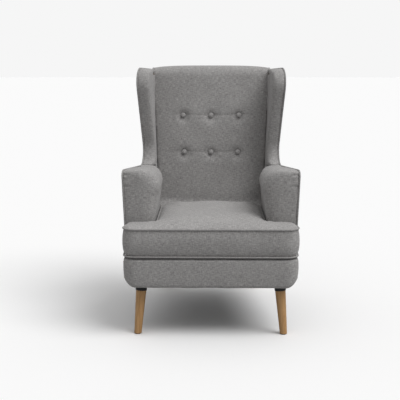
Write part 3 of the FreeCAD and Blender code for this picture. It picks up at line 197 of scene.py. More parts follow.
def bumped(
    tree: Tree,
    shader: bpy.types.Node,
    height: Socket,
    strength: float,
    distance: float,
) -> None:
    """Roughens a shader's surface by a height, which reaches a distance in metres."""
    inputs = {"Height": height, "Strength": strength, "Distance": distance}
    relief = add_node(tree, "ShaderNodeBump", inputs)
    tree.links.new(relief.outputs[0], shader.inputs["Normal"])


def blank_material(name: str) -> tuple[bpy.types.Material, Tree, bpy.types.Node]:
    """Makes a material of only a Principled shader, and gives its tree and shader too."""
    material = bpy.data.materials.new(name)
    material.use_nodes = True
    tree = material.node_tree
    tree.nodes.clear()
    shader = add_node(tree, "ShaderNodeBsdfPrincipled")
    add_node(tree, "ShaderNodeOutputMaterial", {"Surface": shader.outputs[0]})
    return material, tree, shader


# Finishes.


@dataclass(frozen=True)
class WovenCloth:
    """A woven cloth, drawn on the piece's own UV map, which is laid out in metres."""

    name: str
    ground: str
    light: str
    dark: str
    thread: float = 2.0 * MM
    slub: float = 16 * MM
    contrast: float = 0.6
    bump: float = 0.35
    roughness: float = 0.92
    sheen: float = 0.15
    patch: tuple[float, float] = (90 * MM, 70 * MM)
    warp_share: float = 0.75
    fleck_share: float = 0.55
    patch_share: float = 0.18
    middle: float = 1.24
    relief: float = 0.8 * MM

    def material(self) -> bpy.types.Material:
        """Builds the cloth: thick and thin yarns both ways, a plain weave and a soft nap."""
        material, tree, shader = blank_material(self.name)
        shader.inputs["Roughness"].default_value = self.roughness
        shader.inputs["Specular IOR Level"].default_value = 0.25
        shader.inputs["Sheen Weight"].default_value = self.sheen
        shader.inputs["Sheen Roughness"].default_value = 0.6
        cloth = add_node(tree, "ShaderNodeUVMap", uv_map="cloth").outputs[0]
        thick, fleck = self.thread * 1.5, self.thread * 1.9

        def yarns(across: float, along: float, seed: float) -> Socket:
            """Thick and thin places of the yarns that run one way."""
            place = stretched(tree, cloth, (1 / across, 1 / along, 1), (seed, seed, 0))
            return noise(tree, place, 2.0, 0.6, dimensions="2D")

        mixed = yarns(self.slub, thick, 3.0)
        for level, share in (
            (yarns(thick, self.slub, 11.0), self.warp_share),
            (yarns(fleck, self.thread * 1.6, 41.0), self.fleck_share),
            (yarns(*self.patch, 27.0), self.patch_share),
        ):
            mixed = math_node(tree, "ADD", mixed, math_node(tree, "MULTIPLY", level, share))
        level = math_node(tree, "SUBTRACT", mixed, self.middle)
        level = math_node(tree, "MULTIPLY_ADD", level, self.contrast, 0.5)
        coloured(tree, shader, level, (0.22, self.dark), (0.5, self.ground), (0.80, self.light))
        split = add_node(tree, "ShaderNodeSeparateXYZ", {0: cloth})

        def thread_wave(axis: int) -> Socket:
            """Height of the threads that run one way."""
            turns = math_node(tree, "MULTIPLY", split.outputs[axis], math.pi / self.thread)
            return math_node(tree, "ABSOLUTE", math_node(tree, "SINE", turns))

        weave = math_node(tree, "MULTIPLY", thread_wave(0), thread_wave(1))
        uneven = math_node(tree, "MULTIPLY", mixed, 0.5)
        height = math_node(tree, "MULTIPLY_ADD", weave, 0.6, uneven)
        bumped(tree, shader, height, self.bump, self.relief)
        return material


@dataclass(frozen=True)
class GrainedWood:
    """Wood whose grain runs along one axis of the object's own coordinates."""

    name: str
    pale: str
    deep: str
    along: tuple[float, float, float] = (0, 0, 1)
    grain: float = 7 * MM
    roughness: float = 0.42
    coat: float = 0.0
    stretch: float = 22.0

    def material(self) -> bpy.types.Material:
        """Builds the wood: long wavering grain, fine pores and, if lacquered, a thin coat."""
        material, tree, shader = blank_material(self.name)
        shader.inputs["Roughness"].default_value = self.roughness
        shader.inputs["IOR"].default_value = 1.5
        shader.inputs["Coat Weight"].default_value = self.coat
        shader.inputs["Coat Roughness"].default_value = 0.3
        place = add_node(tree, "ShaderNodeTexCoord").outputs["Object"]
        scale = [1 / self.grain / (self.stretch if axis else 1.0) for axis in self.along]
        fibre = stretched(tree, place, scale)
        grain = math_node(tree, "MULTIPLY", noise(tree, fibre, 4.0, 0.62, distortion=0.6), 0.9)
        pores = noise(tree, fibre, 2.0, 0.5, scale=7.0)
        level = math_node(tree, "MULTIPLY_ADD", pores, 0.35, grain)
        coloured(tree, shader, level, (0.42, self.deep), (0.76, self.pale))
        bumped(tree, shader, level, 0.12, 0.3 * MM)
        return material


@dataclass(frozen=True)
class Mottled:
    """A plain material with a fine grain of its own, on the object's coordinates."""

    name: str
    colour: str
    second: str
    grain: float
    roughness: float
    metallic: float = 0.0
    bump: float = 0.1
    squeeze: tuple[float, float, float] = (1, 1, 1)

    def material(self) -> bpy.types.Material:
        """Builds the surface from one noise, which colours it and roughens it."""
        material, tree, shader = blank_material(self.name)
        shader.inputs["Roughness"].default_value = self.roughness
        shader.inputs["Metallic"].default_value = self.metallic
        place = add_node(tree, "ShaderNodeTexCoord").outputs["Object"]
        spread = stretched(tree, place, [value / self.grain for value in self.squeeze])
        level = noise(tree, spread, 3.0, 0.6)
        coloured(tree, shader, level, (0.35, self.second), (0.65, self.colour))
        bumped(tree, shader, level, self.bump, self.grain / 4)
        return material


class Finish(Enum):
    """Every finish of the chair, by what the real surface is."""

    # Wool-look tweed: grey yarns of uneven thickness, matt, with lighter and darker flecks.
    TWEED = WovenCloth("woven_tweed", "a3a1a0", "c8c6c4", "7d7b7a")
    # The same tweed drawn tight over a cord, with finer flecks; its colours are painted a little
    # darker than the tweed's, as painted shade on the round cord.
    PIPING = WovenCloth("tweed_over_cord", "9d9b9a", "bfbdbb", "7a7877", slub=9 * MM, bump=0.3)
    # The same tweed over a button form.
    BUTTON = WovenCloth("tweed_over_button", "a5a3a2", "c8c6c4", "82807f", slub=9 * MM, bump=0.3)
    # Plain cotton lining on the platform.
    LINING = WovenCloth(
        "cotton_lining", "4a4847", "5a5857", "3c3a39", thread=1.2 * MM, slub=8 * MM, bump=0.2
    )
    # Elastic webbing: brown jute-like yarns with a firm rib.
    WEBBING = Mottled(
        "elastic_webbing", "5d4a38", "3c2f24", 2 * MM, 0.9, bump=0.5, squeeze=(0.2, 1, 1)
    )
    # Black spun nonwoven.
    NONWOVEN = Mottled("black_nonwoven", "1d1d1e", "101011", 1.6 * MM, 0.95, bump=0.4)
    # Needled felt of mixed fibres.
    FELT = Mottled("needled_felt", "8b857c", "6b655d", 4 * MM, 1.0, bump=0.6)
    # Polyurethane foam, pale yellow, open cells.
    FOAM = Mottled("cut_foam", "e6dfc6", "cfc7ab", 2 * MM, 1.0, bump=0.6)
    # Waxed twine.
    TWINE = Mottled("waxed_twine", "d8cfb8", "b3a98f", 0.8 * MM, 0.7, bump=0.4)
    # Oak legs, turned and sealed with a satin lacquer.
    OAK = GrainedWood("satin_lacquered_oak", "cfa36f", "b08350", coat=0.25)
    # Beech frame, sawn and left raw; the grain of most rails runs across the chair.
    BEECH = GrainedWood(
        "sawn_beech", "caa57b", "a88258", along=(1, 0, 0), grain=9 * MM, roughness=0.8
    )
    # Beech posts, grain upright.
    BEECH_UPRIGHT = GrainedWood(
        "sawn_beech_upright", "caa57b", "a88258", grain=9 * MM, roughness=0.8
    )
    # Plywood wing boards.
    PLYWOOD = GrainedWood("layered_plywood", "d3b88f", "b4966b", grain=14 * MM, roughness=0.8)
    # Moulded black nylon sockets, faintly grained.
    NYLON = Mottled("moulded_black_nylon", "1a1a1b", "121213", 0.8 * MM, 0.45, bump=0.08)
    # Hard polyethylene glides.
    GLIDE = Mottled("moulded_dark_glide", "2a2624", "1f1c1a", 0.8 * MM, 0.5, bump=0.08)
    # Zinc-plated steel.
    ZINC = Mottled("zinc_plated_steel", "b4b8bc", "9a9ea3", 3 * MM, 0.38, metallic=1.0, bump=0.05)
    # Dark painted zip slider.
    SLIDER = Mottled("dark_painted_zinc", "4a4a4c", "3c3c3e", 1 * MM, 0.4, metallic=0.6, bump=0.05)
    # Nylon zip teeth and tape.
    ZIP = WovenCloth(
        "woven_zip_tape", "4b4a4a", "575656", "3e3d3d", thread=0.8 * MM, slub=3 * MM, bump=0.3
    )

    def material(self) -> bpy.types.Material:
        """The finish's material, made at its first use."""
        return bpy.data.materials.get(self.value.name) or self.value.material()


# Mesh tools.


def mesh_object(
    name: str, points: Sequence[Sequence[float]], faces: Iterable[Sequence[int]]
) -> Piece:
    """Makes a mesh object at the origin.

    Args:
        name: The piece's name.
        points: Its vertices in metres.
        faces: Vertex numbers of each face.

    Returns:
        The new object, linked to the scene.
    """
    mesh = bpy.data.meshes.new(name)
    mesh.from_pydata([tuple(p) for p in points], [], [tuple(f) for f in faces])
    mesh.update()
    obj = bpy.data.objects.new(name, mesh)
    bpy.context.scene.collection.objects.link(obj)
    return obj


def baked(obj: Piece) -> Piece:
    """Applies an object's modifiers by swapping in its evaluated mesh."""
    graph = bpy.context.evaluated_depsgraph_get()
    graph.update()
    mesh = bpy.data.meshes.new_from_object(obj.evaluated_get(graph))
    old = obj.data
    obj.modifiers.clear()
    obj.data = mesh
    mesh.name = obj.name
    bpy.data.meshes.remove(old)
    return obj


def modified(obj: Piece, kind: str, **settings: object) -> Piece:
    """Adds one modifier of a kind with its properties, and applies it at once."""
    modifier = obj.modifiers.new(kind.lower(), kind)
    for name, value in settings.items():
        setattr(modifier, name, value)
    return baked(obj)


def node_shell(node: str, name: str) -> Piece:
    """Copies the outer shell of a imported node's solids as a closed mesh.

    Args:
        node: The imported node.
        name: The new piece's name.

    Returns:
        The new object; inner walls, such as a cover's round its core, are left out.
    """
    obj = bpy.data.objects.new(name, NODES[node].data.copy())
    bpy.context.scene.collection.objects.link(obj)
    obj.data.materials.clear()
    shape = bmesh.new()
    shape.from_mesh(obj.data)
    bmesh.ops.remove_doubles(shape, verts=shape.verts, dist=1e-5)
    todo = set(shape.verts)
    islands = []
    while todo:
        front = [todo.pop()]
        island = list(front)
        while front:
            for edge in front.pop().link_edges:
                for vert in edge.verts:
                    if vert in todo:
                        todo.discard(vert)
                        front.append(vert)
                        island.append(vert)
        islands.append(island)
    largest = max(islands, key=lambda part: span(part))
    bmesh.ops.delete(
        shape,
        geom=[vert for island in islands if island is not largest for vert in island],
        context="VERTS",
    )
    shape.to_mesh(obj.data)
    shape.free()
    return obj


def span(verts: Iterable[bmesh.types.BMVert]) -> float:
    """Diagonal of the box round some vertices."""
    points = np.array([vert.co for vert in verts])
    return float(np.linalg.norm(points.max(axis=0) - points.min(axis=0)))


def coordinates(obj: Piece) -> tuple[np.ndarray, np.ndarray]:
    """Vertex places and normals of an object's mesh, with a row for each vertex."""
    count = len(obj.data.vertices)
    places = np.empty(count * 3)
    obj.data.vertices.foreach_get("co", places)
    normals = np.empty(count * 3, dtype=np.float32)
    obj.data.vertex_normals.foreach_get("vector", normals)
    return places.reshape(-1, 3), normals.reshape(-1, 3).astype(float)


def place_vertices(obj: Piece, places: np.ndarray) -> None:
    """Writes vertex places back into an object's mesh."""
    obj.data.vertices.foreach_set("co", places.reshape(-1))
    obj.data.update()


def shaped(obj: Piece, form: Callable[[np.ndarray, np.ndarray], np.ndarray]) -> Piece:
    """Moves every vertex by a rule, which takes the places and normals and gives new places."""
    place_vertices(obj, form(*coordinates(obj)))
    return obj


def soft_shell(node: str, name: str, voxel: float, rounds: int = 0) -> Piece:
    """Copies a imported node's outer shell as an even mesh with soft edges.

    Args:
        node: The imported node.
        name: The new piece's name.
        voxel: Width of its faces in metres.
        rounds: How often it is smoothed.

    Returns:
        The new object.
    """
    obj = modified(node_shell(node, name), "REMESH", mode="VOXEL", voxel_size=voxel)
    return modified(obj, "SMOOTH", factor=0.5, iterations=rounds) if rounds else obj


def finer(obj: Piece) -> Piece:
    """Divides a mesh once and smooths it."""
    return modified(obj, "SUBSURF", levels=1, render_levels=1)


def folded_panel(obj: Piece, thickness: float) -> Piece:
    """Gives a flat cloth panel its wadding behind it and its folded edges."""
    modified(obj, "SOLIDIFY", thickness=thickness, offset=-1.0)
    fold = {"segments": 2, "limit_method": "ANGLE", "angle_limit": math.radians(50)}
    return modified(obj, "BEVEL", width=1.6 * MM, **fold)


def bell(gap: np.ndarray, width: float) -> np.ndarray:
    """A soft bump of height 1 round a gap of 0."""
    return np.exp(-((gap / width) ** 2))


def ramp(value: np.ndarray, start: float, end: float) -> np.ndarray:
    """A level that goes from 0 at one value to 1 at another."""
    return np.clip((value - start) / (end - start), 0, 1)


def lay_cloth(obj: Piece) -> None:
    """Lays a UV map in metres over a mesh, each face seen along its main direction."""
    mesh = obj.data
    layer = mesh.uv_layers.get("cloth") or mesh.uv_layers.new(name="cloth")
    normals = np.empty(len(mesh.polygons) * 3, dtype=np.float32)
    mesh.polygon_normals.foreach_get("vector", normals)
    main = np.abs(normals.reshape(-1, 3)).argmax(axis=1)
    corners = np.empty(len(mesh.loops), dtype=np.int32)
    mesh.loops.foreach_get("vertex_index", corners)
    totals = np.empty(len(mesh.polygons), dtype=np.int32)
    mesh.polygons.foreach_get("loop_total", totals)
    places, _ = coordinates(obj)
    point = places[corners]
    face_axis = np.repeat(main, totals)
    u = np.where(face_axis == 0, point[:, 1], point[:, 0])
    v = np.where(face_axis == 2, point[:, 1], point[:, 2])
    layer.data.foreach_set("uv", np.stack([u, v], axis=1).reshape(-1))
    mesh.polygons.foreach_set("use_smooth", np.ones(len(mesh.polygons), dtype=bool))
    mesh.uv_layers.active = layer
    mesh.update()


def waves(places: np.ndarray, length: float, seed: int) -> np.ndarray:
    """A smooth random field between about -1 and 1.

    Args:
        places: Points in metres.
        length: Its wavelength in metres.
        seed: Chooses the field.

    Returns:
        One value for each point.
    """
    chance = np.random.default_rng(seed)
    total = np.zeros(len(places))
    for _ in range(7):
        way = chance.normal(size=3)
        way *= 2 * math.pi / length / np.linalg.norm(way) * chance.uniform(0.7, 1.4)
        total += np.sin(places @ way + chance.uniform(0, 2 * math.pi))
    return total / 3.2


def dressed(
    obj: Piece,
    finish: Finish,
    body: Body = Body.CHAIR,
    replaces: Sequence[str] = (),
) -> Piece:
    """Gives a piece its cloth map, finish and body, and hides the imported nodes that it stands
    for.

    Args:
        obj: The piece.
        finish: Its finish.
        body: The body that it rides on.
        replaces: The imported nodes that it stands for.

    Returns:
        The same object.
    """
    lay_cloth(obj)
    obj.data.materials.clear()
    obj.data.materials.append(finish.material())
    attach(obj, body.value)
    if replaces:
        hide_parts(*replaces)
    log.info("%s: %d faces", obj.name, len(obj.data.polygons))
    return obj


def rounded(
    points: Flat,
    radii: Sequence[float],
    closed: bool = True,
    step: float = 9.0,
) -> list[tuple[float, float]]:
    """Rounds the corners of a flat polygon.

    Args:
        points: Its corners.
        radii: A radius for each corner.
        closed: Whether the last corner joins the first.
        step: Turn in degrees between points on a corner.

    Returns:
        The rounded line's points.
    """
    line: list[tuple[float, float]] = []
    count = len(points)
    for k, (point, radius) in enumerate(zip(points, radii)):
        here = Vector(point)
        if radius <= 0 or (not closed and k in (0, count - 1)):
            line.append(tuple(here))
            continue
        before = (Vector(points[k - 1]) - here).normalized()
        after = (Vector(points[(k + 1) % count]) - here).normalized()
        half = before.angle(after) / 2
        centre = here + (before + after).normalized() * (radius / math.sin(half))
        start = here + before * (radius / math.tan(half)) - centre
        end = here + after * (radius / math.tan(half)) - centre
        turn = start.angle_signed(end)
        parts = max(2, round(math.degrees(abs(turn)) / step))
        for part in range(parts + 1):
            angle = -turn * part / parts
            line.append(tuple(centre + Matrix.Rotation(angle, 2) @ start))
    return line


def polygon_area(points: Flat) -> float:
    """Area of a flat polygon, which is negative if it runs clockwise."""
    pairs = [(points[k - 1], points[k]) for k in range(len(points))]
    return sum((start[0] * end[1] - end[0] * start[1]) / 2 for start, end in pairs)


def grown(points: Flat, amounts: Sequence[float]) -> list[tuple[float, float]]:
    """Moves the edges of a flat polygon outward, each by its own amount.

    Args:
        points: The corners.
        amounts: One for the edge that starts at each corner.

    Returns:
        The new corners.
    """
    count = len(points)
    turn = 1 if polygon_area(points) > 0 else -1
    lines = []
    for k, point in enumerate(points):
        way = (Vector(points[(k + 1) % count]) - Vector(point)).normalized()
        lines.append((Vector(point) + Vector((way.y * turn, -way.x * turn)) * amounts[k], way))
    moved = []
    for k, (point, way) in enumerate(lines):
        before, heading = lines[k - 1]
        step = (point - before).cross(way) / heading.cross(way)
        moved.append(tuple(before + heading * step))
    return moved


def gridded(name: str, outline: Flat, pitch: float) -> Piece:
    """Makes a flat piece cut into a grid of faces.

    Args:
        name: The piece's name.
        outline: Its outline in the XY plane.
        pitch: Width of the grid's squares.

    Returns:
        The new object, flat in the XY plane.
    """
    shape = bmesh.new()
    verts = [shape.verts.new((x, y, 0)) for x, y in outline]
    shape.faces.new(verts)
    shape.normal_update()
    if shape.faces[:][0].normal.z < 0:
        bmesh.ops.reverse_faces(shape, faces=shape.faces)
    for axis in (0, 1):
        low = min(point[axis] for point in outline)
        high = max(point[axis] for point in outline)
        way = Vector((1, 0, 0)) if axis == 0 else Vector((0, 1, 0))
        for k in range(1, int((high - low) / pitch) + 1):
            geometry = shape.verts[:] + shape.edges[:] + shape.faces[:]
            bmesh.ops.bisect_plane(
                shape, geom=geometry, dist=1e-6, plane_co=way * (low + k * pitch), plane_no=way
            )
    obj = mesh_object(name, [], [])
    shape.to_mesh(obj.data)
    shape.free()
    return obj


def swollen(obj: Piece, pressure: float, cap: float, held: np.ndarray, frames: int = 20) -> Piece:
    """Swells a closed mesh as cloth under pressure from inside.

    Args:
        obj: The closed mesh.
        pressure: The cloth's pressure.
        cap: How far a point may move, in metres.
        held: Numbers of the vertices that stay, such as those along the seams.
        frames: Length of the simulation.

    Returns:
        The same object, with the result in its mesh.
    """
    before, _ = coordinates(obj)
    group = obj.vertex_groups.new(name="held")
    group.add([int(k) for k in held], 1.0, "REPLACE")
    cloth = obj.modifiers.new("swell", "CLOTH")
    cloth.settings.quality = 4
    cloth.settings.mass = 0.3
    cloth.settings.tension_stiffness = 12
    cloth.settings.compression_stiffness = 12
    cloth.settings.shear_stiffness = 4
    cloth.settings.bending_stiffness = 1.5
    cloth.settings.use_pressure = True
    cloth.settings.uniform_pressure_force = pressure
    cloth.settings.effector_weights.gravity = 0
    cloth.settings.vertex_group_mass = "held"
    cloth.point_cache.frame_start = 1
    cloth.point_cache.frame_end = frames
    for moment in range(1, frames + 1):
        bpy.context.scene.frame_set(moment)
    baked(obj)
    bpy.context.scene.frame_set(1)
    obj.vertex_groups.clear()
    after, _ = coordinates(obj)
    move = after - before
    far = np.linalg.norm(move, axis=1, keepdims=True)
    scale = np.where(far > cap, cap / np.maximum(far, 1e-9), 1.0)
    place_vertices(obj, before + move * scale)
    return obj


# Geometry Nodes trees.


def ring(radius: float, sides: int) -> list[tuple[float, float]]:
    """Points round a flat circle."""
    angles = [math.tau * k / sides for k in range(sides)]
    return [(radius * math.cos(angle), radius * math.sin(angle)) for angle in angles]


class GeometryTree:
    """A Geometry Nodes tree with named inputs, which ends in real geometry and a material."""

    def __init__(self, name: str, inputs: dict[str, tuple[str, float]]) -> None:
        """Starts the tree.

        Args:
            name: The tree's name.
            inputs: Input name to its socket type and default value.
        """
        self.tree = bpy.data.node_groups.new(name, "GeometryNodeTree")
        face = self.tree.interface
        face.new_socket("Geometry", in_out="INPUT", socket_type="NodeSocketGeometry")
        for title, (kind, value) in inputs.items():
            socket = face.new_socket(title, in_out="INPUT", socket_type=kind)
            socket.default_value = value
        face.new_socket("Finish", in_out="INPUT", socket_type="NodeSocketMaterial")
        face.new_socket("Geometry", in_out="OUTPUT", socket_type="NodeSocketGeometry")
        self.entry = add_node(self.tree, "NodeGroupInput")

    def value(self, title: str) -> Socket:
        """The output of the tree's input of this name."""
        return self.entry.outputs[title]

    def end(self, geometry: Socket) -> None:
        """Ends the tree in Realize Instances, Set Material and the output."""
        real = add_node(self.tree, "GeometryNodeRealizeInstances", {0: geometry})
        smooth = add_node(self.tree, "GeometryNodeSetShadeSmooth", {0: real.outputs[0]})
        finished = add_node(
            self.tree,
            "GeometryNodeSetMaterial",
            {"Geometry": smooth.outputs[0], "Material": self.value("Finish")},
        )
        add_node(self.tree, "NodeGroupOutput", {0: finished.outputs[0]})

    def apply(self, obj: Piece, finish: Finish, values: dict[str, float] | None = None) -> Piece:
        """Runs the tree on an object and keeps the result as its plain mesh.

        Args:
            obj: A mesh or curve object.
            finish: The finish that the tree sets.
            values: Input names to values other than their defaults.

        Returns:
            A mesh object of the same name.
        """
        modifier = obj.modifiers.new("tree", "NODES")
        modifier.node_group = self.tree
        names = {
            item.name: item.identifier
            for item in self.tree.interface.items_tree
            if item.item_type == "SOCKET" and item.in_out == "INPUT"
        }
        for title, value in (values or {}).items():
            modifier[names[title]] = value
        modifier[names["Finish"]] = finish.material()
        graph = bpy.context.evaluated_depsgraph_get()
        graph.update()
        mesh = bpy.data.meshes.new_from_object(obj.evaluated_get(graph))
        name = obj.name
        bpy.data.objects.remove(obj)
        made = bpy.data.objects.new(name, mesh)
        bpy.context.scene.collection.objects.link(made)
        return made


def cord_tree() -> GeometryTree:
    """The tree that draws a round cord of cloth along a curve."""
    made = GeometryTree(
        "cord_along_curve",
        {"Diameter": ("NodeSocketFloat", 9 * MM), "Step": ("NodeSocketFloat", 5 * MM)},
    )
    tree = made.tree
    even = add_node(
        tree,
        "GeometryNodeResampleCurve",
        {"Curve": made.value("Geometry"), "Length": made.value("Step")},
        mode="LENGTH",
    )
    half = math_node(tree, "MULTIPLY", made.value("Diameter"), 0.5)
    ring = add_node(
        tree, "GeometryNodeCurvePrimitiveCircle", {"Resolution": 12, "Radius": half}, mode="RADIUS"
    )
    cord = add_node(
        tree,
        "GeometryNodeCurveToMesh",
        {"Curve": even.outputs[0], "Profile Curve": ring.outputs[0], "Fill Caps": True},
    )
    made.end(cord.outputs[0])
    return made


def repeat_tree() -> GeometryTree:
    """The tree that sets a small block at even steps along a curve, such as staples or teeth."""
    made = GeometryTree(
        "blocks_along_curve",
        {
            "Pitch": ("NodeSocketFloat", 40 * MM),
            "Along": ("NodeSocketFloat", 10 * MM),
            "Across": ("NodeSocketFloat", 1 * MM),
            "High": ("NodeSocketFloat", 1 * MM),
            "Turn": ("NodeSocketFloat", 0.15),
            "Seed": ("NodeSocketInt", 4),
        },
    )
    tree = made.tree
    points = add_node(
        tree,
        "GeometryNodeCurveToPoints",
        {"Curve": made.value("Geometry"), "Length": made.value("Pitch")},
        mode="LENGTH",
    )
    size = add_node(
        tree,
        "ShaderNodeCombineXYZ",
        {0: made.value("Across"), 1: made.value("High"), 2: made.value("Along")},
    )
    block = add_node(tree, "GeometryNodeMeshCube", {"Size": size.outputs[0]})
    spread = math_node(tree, "MULTIPLY", made.value("Turn"), -1.0)
    chance = add_node(
        tree,
        "FunctionNodeRandomValue",
        {2: spread, 3: made.value("Turn"), "Seed": made.value("Seed")},
        data_type="FLOAT",
    )
    spin = add_node(tree, "ShaderNodeCombineXYZ", {1: chance.outputs[1]})
    turned = add_node(
        tree,
        "FunctionNodeRotateRotation",
        {0: points.outputs["Rotation"], 1: spin.outputs[0]},
        rotation_space="LOCAL",
    )
    laid = add_node(
        tree,
        "GeometryNodeInstanceOnPoints",
        {"Points": points.outputs[0], "Instance": block.outputs[0], "Rotation": turned.outputs[0]},
    )
    made.end(laid.outputs[0])
    return made


def button_tree() -> GeometryTree:
    """The tree that sets a covered button on every point, all facing the front and tipped by the
    tilt.
    """
    made = GeometryTree(
        "covered_buttons",
        {
            "Diameter": ("NodeSocketFloat", 26 * MM),
            "Height": ("NodeSocketFloat", 9 * MM),
            "Tilt": ("NodeSocketFloat", math.radians(10)),
        },
    )
    tree = made.tree
    half = math_node(tree, "MULTIPLY", made.value("Diameter"), 0.5)
    ball = add_node(tree, "GeometryNodeMeshUVSphere", {"Segments": 28, "Rings": 16, "Radius": half})
    flat = math_node(tree, "DIVIDE", made.value("Height"), made.value("Diameter"))
    shape = add_node(tree, "ShaderNodeCombineXYZ", {0: 1.0, 1: 1.0, 2: flat})
    dome = add_node(
        tree, "GeometryNodeTransform", {"Geometry": ball.outputs[0], "Scale": shape.outputs[0]}
    )
    lean = math_node(tree, "ADD", made.value("Tilt"), math.pi / 2)
    turn = add_node(tree, "ShaderNodeCombineXYZ", {0: lean})
    laid = add_node(
        tree,
        "GeometryNodeInstanceOnPoints",
        {
            "Points": made.value("Geometry"),
            "Instance": dome.outputs[0],
            "Rotation": turn.outputs[0],
        },
    )
    made.end(laid.outputs[0])
    return made


def curve_object(name: str, points: Sequence[Sequence[float]], closed: bool) -> Piece:
    """Makes a plain curve through some points, or a ring if it is closed."""
    data = bpy.data.curves.new(name, "CURVE")
    data.dimensions = "3D"
    spline = data.splines.new("POLY")
    spline.points.add(len(points) - 1)
    for point, place in zip(spline.points, points):
        point.co = (*place, 1.0)
    spline.use_cyclic_u = closed
    obj = bpy.data.objects.new(name, data)
    bpy.context.scene.collection.objects.link(obj)
    return obj


# The planes that the chair is set out from.


@dataclass(frozen=True)
class SidePlane:
    """The flat plane of one side, which leans out and closes in towards the back."""

    side: Side
    front_half: float = 0.346
    rear_half: float = 0.262
    front: float = -0.268
    rear: float = 0.320
    deck: float = 0.322
    lean: float = math.radians(2.2)

    @property
    def taper(self) -> float:
        """Angle of the side to the chair's middle plane."""
        return math.atan2(self.front_half - self.rear_half, self.rear - self.front)

    def local(self, y: float, z: float) -> tuple[float, float]:
        """Distance along and up the plane of the point at this depth and height."""
        up = (z - self.deck) / math.cos(self.lean)
        along = (y - self.front - up * math.sin(self.lean) * math.sin(self.taper)) / math.cos(
            self.taper
        )
        return along, up

    def place(self, along: np.ndarray, up: np.ndarray, depth: np.ndarray) -> np.ndarray:
        """Points at distances to the rear, up the plane and inward, with a row for each."""
        sign = self.side.value
        outward = np.array([sign * math.cos(self.taper), math.sin(self.taper), 0.0])
        rearward = np.array([-sign * math.sin(self.taper), math.cos(self.taper), 0.0])
        upward = outward * math.sin(self.lean) + np.array([0, 0, math.cos(self.lean)])
        normal = sign * np.cross(rearward, upward)
        origin = np.array([sign * self.front_half, self.front, self.deck])
        return (origin + np.outer(along, rearward) + np.outer(up, upward) - np.outer(depth, normal))

    def half(self, y: np.ndarray | float, z: np.ndarray | float) -> np.ndarray | float:
        """Half width over the plane at a place."""
        rise = (z - self.deck) * math.tan(self.lean) / math.cos(self.taper)
        return self.front_half + rise - (y - self.front) * math.tan(self.taper)


@dataclass(frozen=True)
class BackPlane:
    """The flat plane of the outside back."""

    bottom: float = 0.197
    bottom_y: float = 0.320
    top: float = 1.036
    top_y: float = 0.400

    def y(self, z: float) -> float:
        """Its depth at a height."""
        share = (z - self.bottom) / (self.top - self.bottom)
        return self.bottom_y + share * (self.top_y - self.bottom_y)


BACK = BackPlane()


@dataclass(frozen=True)
class SideOutline:
    """Outline of a whole side as seen square to it."""

    foot: float = 0.197
    arm_front: float = 0.649
    arm_rear: float = 0.629
    root: float = 0.158
    nose: float = 0.045
    nose_top: float = 1.049
    crown: float = 1.036
    radii: tuple[float, ...] = (0, 0.026, 0.070, 0.075, 0.018, 0)
    panel: float = 0.004

    def arm_top(self, y: np.ndarray | float) -> np.ndarray | float:
        """Height of the arm's top line."""
        return self.arm_front + (y + 0.268) * (self.arm_rear - self.arm_front) / (0.268 + self.root)

    def corners(self, plane: SidePlane, growth: float) -> tuple[list, list[float]]:
        """Corners of the outline and their radii, grown along the arm and wing.

        Args:
            plane: The side's plane.
            growth: How far the outline is moved outward.

        Returns:
            The corners in the plane and the radii.
        """
        panel = self.panel
        points = [
            plane.local(plane.front, self.foot),
            plane.local(plane.front, self.arm_top(plane.front)),
            plane.local(self.root, self.arm_top(self.root)),
            plane.local(self.nose, self.nose_top),
            plane.local(BACK.y(self.crown) - panel, self.crown),
            plane.local(BACK.y(self.foot) - panel, self.foot),
        ]
        signs = (0, 1, -1, 1, 1, 0)
        radii = [radius + sign * growth for radius, sign in zip(self.radii, signs)]
        return grown(points, [growth] * 4 + [0, 0]), radii


OUTLINE = SideOutline()


# Sub-assemblies.


